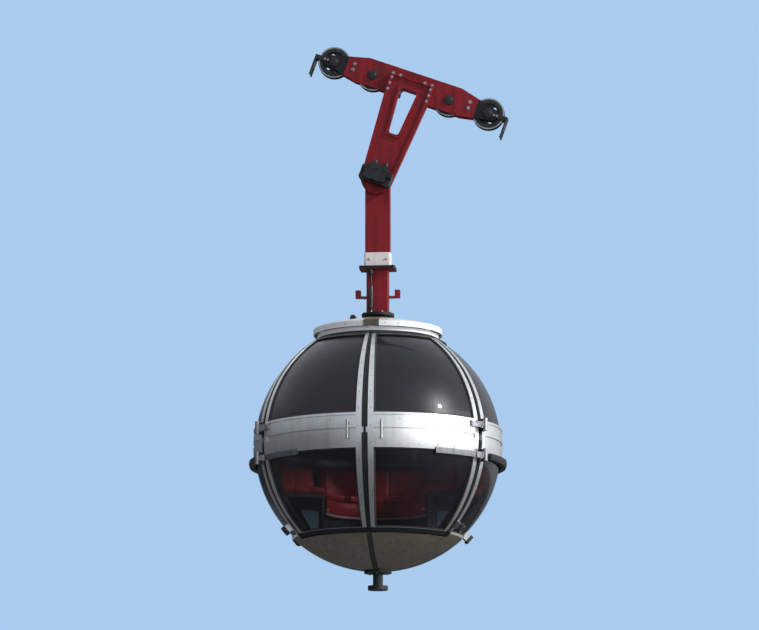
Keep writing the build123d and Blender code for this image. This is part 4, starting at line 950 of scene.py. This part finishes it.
# %% [markdown]
# ## Seats
#
# The bench holds three cushions with two places each, and a back pad behind each of them. They are
# foam under vinyl, so their look comes from inflating a slightly smaller copy of the solid as
# cloth. Pressure swells the broad faces and leaves the corners drawn in. A limit on how far a
# point may move keeps the cushion in its place, and the sewn channels are pressed in afterwards.

# %% Inflate a pad
PAD_VOXEL = 0.011
PAD_SHRINK = 0.009
PAD_SWELL = 0.0125
PAD_FRAMES = 14
PAD_PRESSURE = 4


def applied(piece):
    """Replaces a piece's mesh by what its modifiers make of it, and takes them off."""
    graph = bpy.context.evaluated_depsgraph_get()
    mesh = bpy.data.meshes.new_from_object(piece.evaluated_get(graph))
    piece.modifiers.clear()
    piece.data = mesh


def inflate(piece):
    """Swells a closed piece as cloth under pressure, up to a limit."""
    start = [vertex.co.copy() for vertex in piece.data.vertices]
    cloth = piece.modifiers.new("cloth", "CLOTH")
    cloth.settings.use_pressure = True
    cloth.settings.uniform_pressure_force = PAD_PRESSURE
    cloth.settings.effector_weights.gravity = 0
    cloth.settings.quality = 4
    cloth.point_cache.frame_end = PAD_FRAMES
    for step in range(1, PAD_FRAMES + 1):
        bpy.context.scene.frame_set(step)
    applied(piece)
    bpy.context.scene.frame_set(1)
    for vertex, home in zip(piece.data.vertices, start):
        moved = vertex.co - home
        if moved.length > PAD_SWELL:
            vertex.co = home + moved.normalized() * PAD_SWELL


# %% [markdown]
# A channel is a narrow valley. For every point the distance to each seam gives a depth that falls off
# as a smooth bell, and the point moves in along its normal. A seam up or across a pad is a meridian
# plane, and the seams along a cushion are level circles.

# %% Pads
CHANNEL_DEPTH = 0.011
CHANNEL_WIDTH = 0.011
BELL_BASE = 2.718


def sew(piece, seams):
    """Presses channels into a piece. Each seam is a function from a point to its distance."""
    moves = []
    for vertex in piece.data.vertices:
        depth = sum(BELL_BASE ** (-(seam(vertex.co) / CHANNEL_WIDTH) ** 2) for seam in seams)
        moves.append(vertex.normal * (-CHANNEL_DEPTH * min(depth, 1)))
    for vertex, move in zip(piece.data.vertices, moves):
        vertex.co += move


def make_pad(node, seams):
    """An upholstered piece that stands for a plain one."""
    shape = bmesh.new()
    shape.from_mesh(frame["nodes"][node].data)
    bmesh.ops.remove_doubles(shape, verts=shape.verts, dist=0.0001)
    bmesh.ops.recalc_face_normals(shape, faces=shape.faces)
    shape.normal_update()
    for vertex in shape.verts:
        vertex.co -= vertex.normal * PAD_SHRINK
    mesh = bpy.data.meshes.new(node + "_pad")
    shape.to_mesh(mesh)
    shape.free()
    piece = put_in_scene(node + "_pad", mesh)
    remesh = piece.modifiers.new("remesh", "REMESH")
    remesh.mode = "VOXEL"
    remesh.voxel_size = PAD_VOXEL
    applied(piece)
    inflate(piece)
    relax = piece.modifiers.new("relax", "SMOOTH")
    relax.iterations = 3
    finer = piece.modifiers.new("finer", "SUBSURF")
    finer.levels = finer.render_levels = 1
    applied(piece)
    sew(piece, seams)
    piece.data.shade_smooth()
    piece.data.materials.clear()
    piece.data.materials.append(finishes["cushion_vinyl"])
    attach(piece, "cabin")
    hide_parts(node)
    print(piece.name, "faces", len(piece.data.polygons))


def across_seam(angle):
    """Distance from the upright plane at an angle."""
    side = sideways(angle)
    return lambda point: abs((point - middle).dot(side))


def ring_seam(radius):
    """Distance from a level circle on the top of a cushion."""
    return lambda point: abs((point - middle).to_2d().length - radius)


for side, first, last in (("right", 64.2, 138.8), ("rear", 141.2, 218.8), ("left", 221.2, 295.8)):
    half = (first + last) / 2
    quarter = (last - first) / 4
    make_pad("seat_cushion_" + side, [across_seam(half), ring_seam(0.56), ring_seam(0.70)])
    make_pad("back_pad_" + side, [across_seam(half + turn) for turn in (0, -quarter, quarter)])

# %% [markdown]
# ## Fittings inside
#
# Below the cushions the bench's front is padded in the same red, and ends in a pale nosing that shows
# through the lower panes as a thin line. The grab rails end in round flanges on the posts, and a ring of
# screws holds the ceiling.

# %% Seat front and nosing
SEAT_FRONT = 0.4298
SEAT_TOP = -0.400
FRONT_START, FRONT_HEIGHT = -0.002, 0.112
FRONT_PROUD = 0.014
BENCH_START = 63.5


def round_bench(shape, section):
    """A length round the front of the bench. The section is (distance in front of it, height)."""
    points = [middle + (SEAT_FRONT - ahead) * outward(BENCH_START) + (SEAT_TOP + rise) * UP
              for ahead, rise in section]
    swing(shape, points, middle, UP, radians(360 - 2 * BENCH_START), 72)


front = bmesh.new()
bulge = [(FRONT_PROUD * sin(pi * share) ** 0.5, FRONT_START - FRONT_HEIGHT * share)
         for share in (0.02, 0.08, 0.2, 0.35, 0.5, 0.65, 0.8, 0.92, 0.98)]
round_bench(front, [(-0.001, FRONT_START)] + bulge + [(-0.001, FRONT_START - FRONT_HEIGHT)])
add_piece("seat_front", front, "cabin", "cushion_vinyl", crease=50)
nosing = bmesh.new()
under = 2 * FRONT_START - FRONT_HEIGHT
round_bench(nosing, [(-0.001, under), (0.010, under), (0.016, under - 0.004), (0.016, under - 0.016),
                     (0.010, under - 0.020), (-0.001, under - 0.020)])
add_piece("bench_nosing", nosing, "cabin", "collar_white")

# %% Rail flanges and ceiling screws
RAIL_ANGLE = 62
RIB_INSIDE = 0.928
FLANGE_SINK = 0.0035
CEILING_FACE = 0.87207
CEILING_SCREWS = 0.31
inside = bmesh.new()
for angle in (RAIL_ANGLE, -RAIL_ANGLE):
    for level in (-0.25, 0.25):
        place = frame_at(at_height(angle, RIB_INSIDE, level) - FLANGE_SINK * outward(angle),
                         -outward(angle), sideways(angle))
        turned(inside, place, [(0.0115, 0), (0.026, 0), (0.026, 0.004), (0.016, 0.007), (0.0115, 0.007)], 24)
        add_screws(inside, circle_of(place, 3, 0.020, rise=0.0045), 0.003)
add_screws(inside, circle_of(frame_at(middle + CEILING_FACE * UP, -UP), 18, CEILING_SCREWS), 0.005)
add_piece("inside_fittings", inside, "cabin", "steel")

# %% [markdown]
# ## Roof and hanger fittings
#
# The hanger's foot stands on rubber dampers and is held by eight bolts. Its head flange has three bolts
# along each end, a rubber boot closes the boss, and screws run round the cap's skirt.

# %% Hanger foot and flange bolts
FOOT_CIRCLE = 0.116
bolts = bmesh.new()
add_bolts(bolts, circle_of(frame_at(on_axis(foot_top), UP), 8, FOOT_CIRCLE, start=pi / 8), 0.0095)
flange_top = frame_at(on_axis(knuckle_high.z), UP)
add_bolts(bolts, [shifted(flange_top, x, y) for x in (-0.128, 0.128) for y in (-0.06, 0.0, 0.06)], 0.009)
collar_low, collar_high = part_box("hanger_collar")
height = (collar_low.z + collar_high.z) / 2
for x in (-0.07, 0.07):
    for way, y in ((-1, collar_low.y), (1, collar_high.y)):
        add_bolt(bolts, frame_at(Vector((middle.x + x, y, height)), Vector((0, way, 0)), UP), 0.008)
brackets = frame_at(on_axis(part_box("cable_brackets")[0].z), -UP)
add_bolts(bolts, [shifted(brackets, x, y) for x in (-0.11, 0.11) for y in (-0.013, 0.013)], 0.006)
add_piece("hanger_bolts", bolts, "cabin", "steel")

# %% Boot and cap screws
boot = bmesh.new()
turned(boot, frame_at(on_axis(cap_top - 0.004), UP),
       [(HUB_RADIUS, -0.002), (HUB_RADIUS + 0.022, -0.003), (HUB_RADIUS + 0.022, 0.002),
        (HUB_RADIUS + 0.012, 0.006), (HUB_RADIUS + 0.004, 0.012), (HUB_RADIUS, 0.012)], 48)
add_piece("roof_boot", boot, "cabin", "pad_rubber")
rim = bmesh.new()
for angle in range(12, 360, 12):
    if angle != 180:
        place = on_axis(skirt_middle) + cap_reach * outward(angle)
        add_screws(rim, [frame_at(place, outward(angle), sideways(angle))], 0.0048)
add_piece("cap_screws", rim, "cabin", "steel")

# %% [markdown]
# ## Knuckle dampers
#
# The two upright dampers beside the knuckle are bought parts: a smooth rod, a wider body and rubber
# buffers at the ends. The plain cylinders only give their size, so turned ones stand for them.

# %% Dampers
DAMPER_PLACES = ((-0.050, -0.065), (0.050, 0.065))
damper_low, damper_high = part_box("knuckle_dampers")
tall = damper_high.z - damper_low.z
dampers = bmesh.new()
for x, y in DAMPER_PLACES:
    place = frame_at(Vector((middle.x + x, y, damper_low.z)), UP)
    turned(dampers, place,
           [(0, 0), (0.0185, 0), (0.0195, 0.006), (0.0195, 0.024), (0.013, 0.030), (0.013, 0.040),
            (0.0195, 0.044), (0.0195, 0.215), (0.017, 0.222), (0.0085, 0.226), (0.0085, tall - 0.05),
            (0.015, tall - 0.046), (0.0195, tall - 0.03), (0.0195, tall - 0.006), (0.017, tall), (0, tall)])
add_piece("dampers", dampers, "cabin", "carriage_steel", replaced=("knuckle_dampers",))

# %% [markdown]
# ## Carriage fittings
#
# Rows of bolts hold the blocks between the cheeks, the fork on the door-side cheek, and the end guards.
# The axles end in turned caps.

# %% Carriage bolts
CHEEK_OUT = 0.049
FORK_FACE = -0.097
GUARD_THICKNESS = 0.008
WHEEL_LINE = 0.126
FORK_BOLTS = ((0.168, 0.05), (0.168, 0.10), (0.168, 0.15), (0.168, 0.188), (0.105, 0.188))
bolts = bmesh.new()
for way in (-1, 1):
    cheek, guard = way * CHEEK_OUT, way * (CHEEK_OUT + GUARD_THICKNESS)
    add_bolts(bolts, [rope_face(along, cheek, rise, way) for along in (-0.5, 0.5) for rise in (0.115, 0.165)],
              0.011)
    add_bolts(bolts, [rope_face(along, guard, WHEEL_LINE, way) for along in (-0.745, -0.722, 0.722, 0.745)],
              0.007)
    add_bolts(bolts, [rope_face(way * along, FORK_FACE, rise, -1) for along, rise in FORK_BOLTS], 0.009)
add_bolts(bolts, [rope_face(along, CHEEK_OUT, rise, 1) for along in (-0.125, -0.045, 0.045, 0.125)
                  for rise in (0.145, 0.215)], 0.012)
add_piece("carriage_bolts", bolts, "carriage", "steel")

# %% Axle caps
WHEEL_PLACES = (-0.67, -0.33, 0.33, 0.67)
caps = bmesh.new()
for along in WHEEL_PLACES:
    for way in (-1, 1):
        turned(caps, rope_face(along, way * CHEEK_OUT, WHEEL_LINE, way),
               [(0, 0.0005), (0.040, 0.0005), (0.040, 0.012), (0.037, 0.0155), (0.024, 0.0165),
                (0.021, 0.019), (0.008, 0.0195), (0, 0.0195)], 36)
add_piece("axle_caps", caps, "carriage", "carriage_steel")

# %% [markdown]
# ## Wheels
#
# The wheels' flanges are worn bright at the rim, where the rope brushes them, so each side gets a thin
# bright ring. Beside the hub a bearing seal and six screws close each side. These turn with their own
# wheel.

# %% Wheel fittings
HUB_FACE = 0.029
RIM_IN, RIM_OUT = 0.118, 0.1292
for number, along in enumerate(WHEEL_PLACES, start=1):
    fittings = bmesh.new()
    for way in (-1, 1):
        face = rope_face(along, way * HUB_FACE, WHEEL_LINE, way)
        add_screws(fittings, circle_of(face, 6, 0.031, start=pi / 6), 0.0042)
        turned(fittings, face,
               [(0.021, 0), (0.0265, 0), (0.0265, 0.002), (0.0235, 0.003), (0.021, 0.003)], 28)
        turned(fittings, face,
               [(RIM_IN, -0.001), (RIM_IN, 0.0004), (RIM_IN + 0.002, 0.0009), (RIM_OUT - 0.002, 0.0009),
                (RIM_OUT, 0.0002), (RIM_OUT, -0.001)], 48)
    body = "wheel_%d" % number
    add_piece(body + "_fittings", fittings, body, "steel")

# %% [markdown]
# ## Grip and pivot
#
# Two spring barrels press the jaw on the rope. They stand on the body, with domed ends, and a row of
# bolts finishes the mechanism. Behind the arm a ring of bolts holds the pin's head.

# %% Grip fittings
GRIP_FACE, GRIP_TOP = -0.250, 0.084
grip = bmesh.new()
add_bolts(grip, [rope_face(along, GRIP_FACE, rise - PIVOT_DROP, -1) for along in (-0.07, 0.0, 0.07)
                 for rise in (-0.035, 0.05)], 0.010)
for along in (-0.045, 0.045):
    top = frame_at(on_rope(along, -0.150, GRIP_TOP - PIVOT_DROP), on_rope(0, 0, 1), rope_way)
    turned(grip, top, [(0, 0), (0.021, 0), (0.023, 0.003), (0.023, 0.032), (0.019, 0.040), (0.009, 0.042),
                       (0.009, 0.050), (0, 0.050)], 28)
add_piece("grip_fittings", grip, "carriage", "carriage_steel")

# %% Pivot bolts
cover = bmesh.new()
pin_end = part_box("pivot_pin")[1].y
back = frame_at(Vector((pivot.x, pin_end - 0.0005, pivot.z)), Vector((0, 1, 0)))
add_bolts(cover, circle_of(back, 6, 0.050), 0.0055)
add_piece("pivot_bolts", cover, "carriage", "steel")

# %% [markdown]
# ## Door fittings
#
# Two rows of screws hold each hinge strap on its leaf.

# %% Door screws
STRAP_FACE = 1.014
LOW_STRAP, HIGH_STRAP = -0.146, 0.096
for body, way in DOORS:
    screws = bmesh.new()
    for strap, angles in ((LOW_STRAP, (35, 39, 43, 47, 51, 55)), (HIGH_STRAP, (54.2, 57))):
        for angle in angles:
            for rise in (-0.012, 0.012):
                place = at_height(way * angle, STRAP_FACE, strap + rise)
                add_screws(screws, [frame_at(place, place - middle, sideways(way * angle))], 0.0048)
    add_piece("strap_screws_" + body, screws, body, "steel")

# %% [markdown]
# ## Bumpers, shoes and the guide pin
#
# Each bumper rail has a rubber face, glued on. The guide shoes have two bolts each, and the guide
# pin's flange has a ring of them.

# %% Bumper faces
BUMPER_FACE = 1.0400
BUMPER_HALF_ANGLE = 23
LOW_HEIGHT, HIGH_HEIGHT = -0.162, -0.130
FACE_SECTION = ((LOW_HEIGHT, -0.003), (LOW_HEIGHT, 0.001), (LOW_HEIGHT + 0.006, 0.003),
                (HIGH_HEIGHT - 0.006, 0.003), (HIGH_HEIGHT, 0.001), (HIGH_HEIGHT, -0.003))
rubber = bmesh.new()
for angle in (90, 270):
    points = [at_height(angle - BUMPER_HALF_ANGLE, BUMPER_FACE + proud, height)
              for height, proud in FACE_SECTION]
    swing(rubber, points, middle, UP, radians(2 * BUMPER_HALF_ANGLE), 36)
add_piece("bumper_faces", rubber, "cabin", "pad_rubber")

# %% Shoe bolts and guide bolts
SHOE_LATITUDE = -42
SHOE_FACE = 1.072
GUIDE_FACE = 1.016
under = bmesh.new()
shoes = [on_sphere(angle, SHOE_LATITUDE, SHOE_FACE) for angle in (62.3, 117.7, 242.3, 297.7)]
add_bolts(under, [shifted(shoe, 0, y) for shoe in shoes for y in (-0.026, 0.026)], 0.006)
add_bolts(under, circle_of(frame_at(middle - GUIDE_FACE * UP, -UP), 6, 0.080, start=pi / 6), 0.009)
add_piece("under_bolts", under, "cabin", "steel")
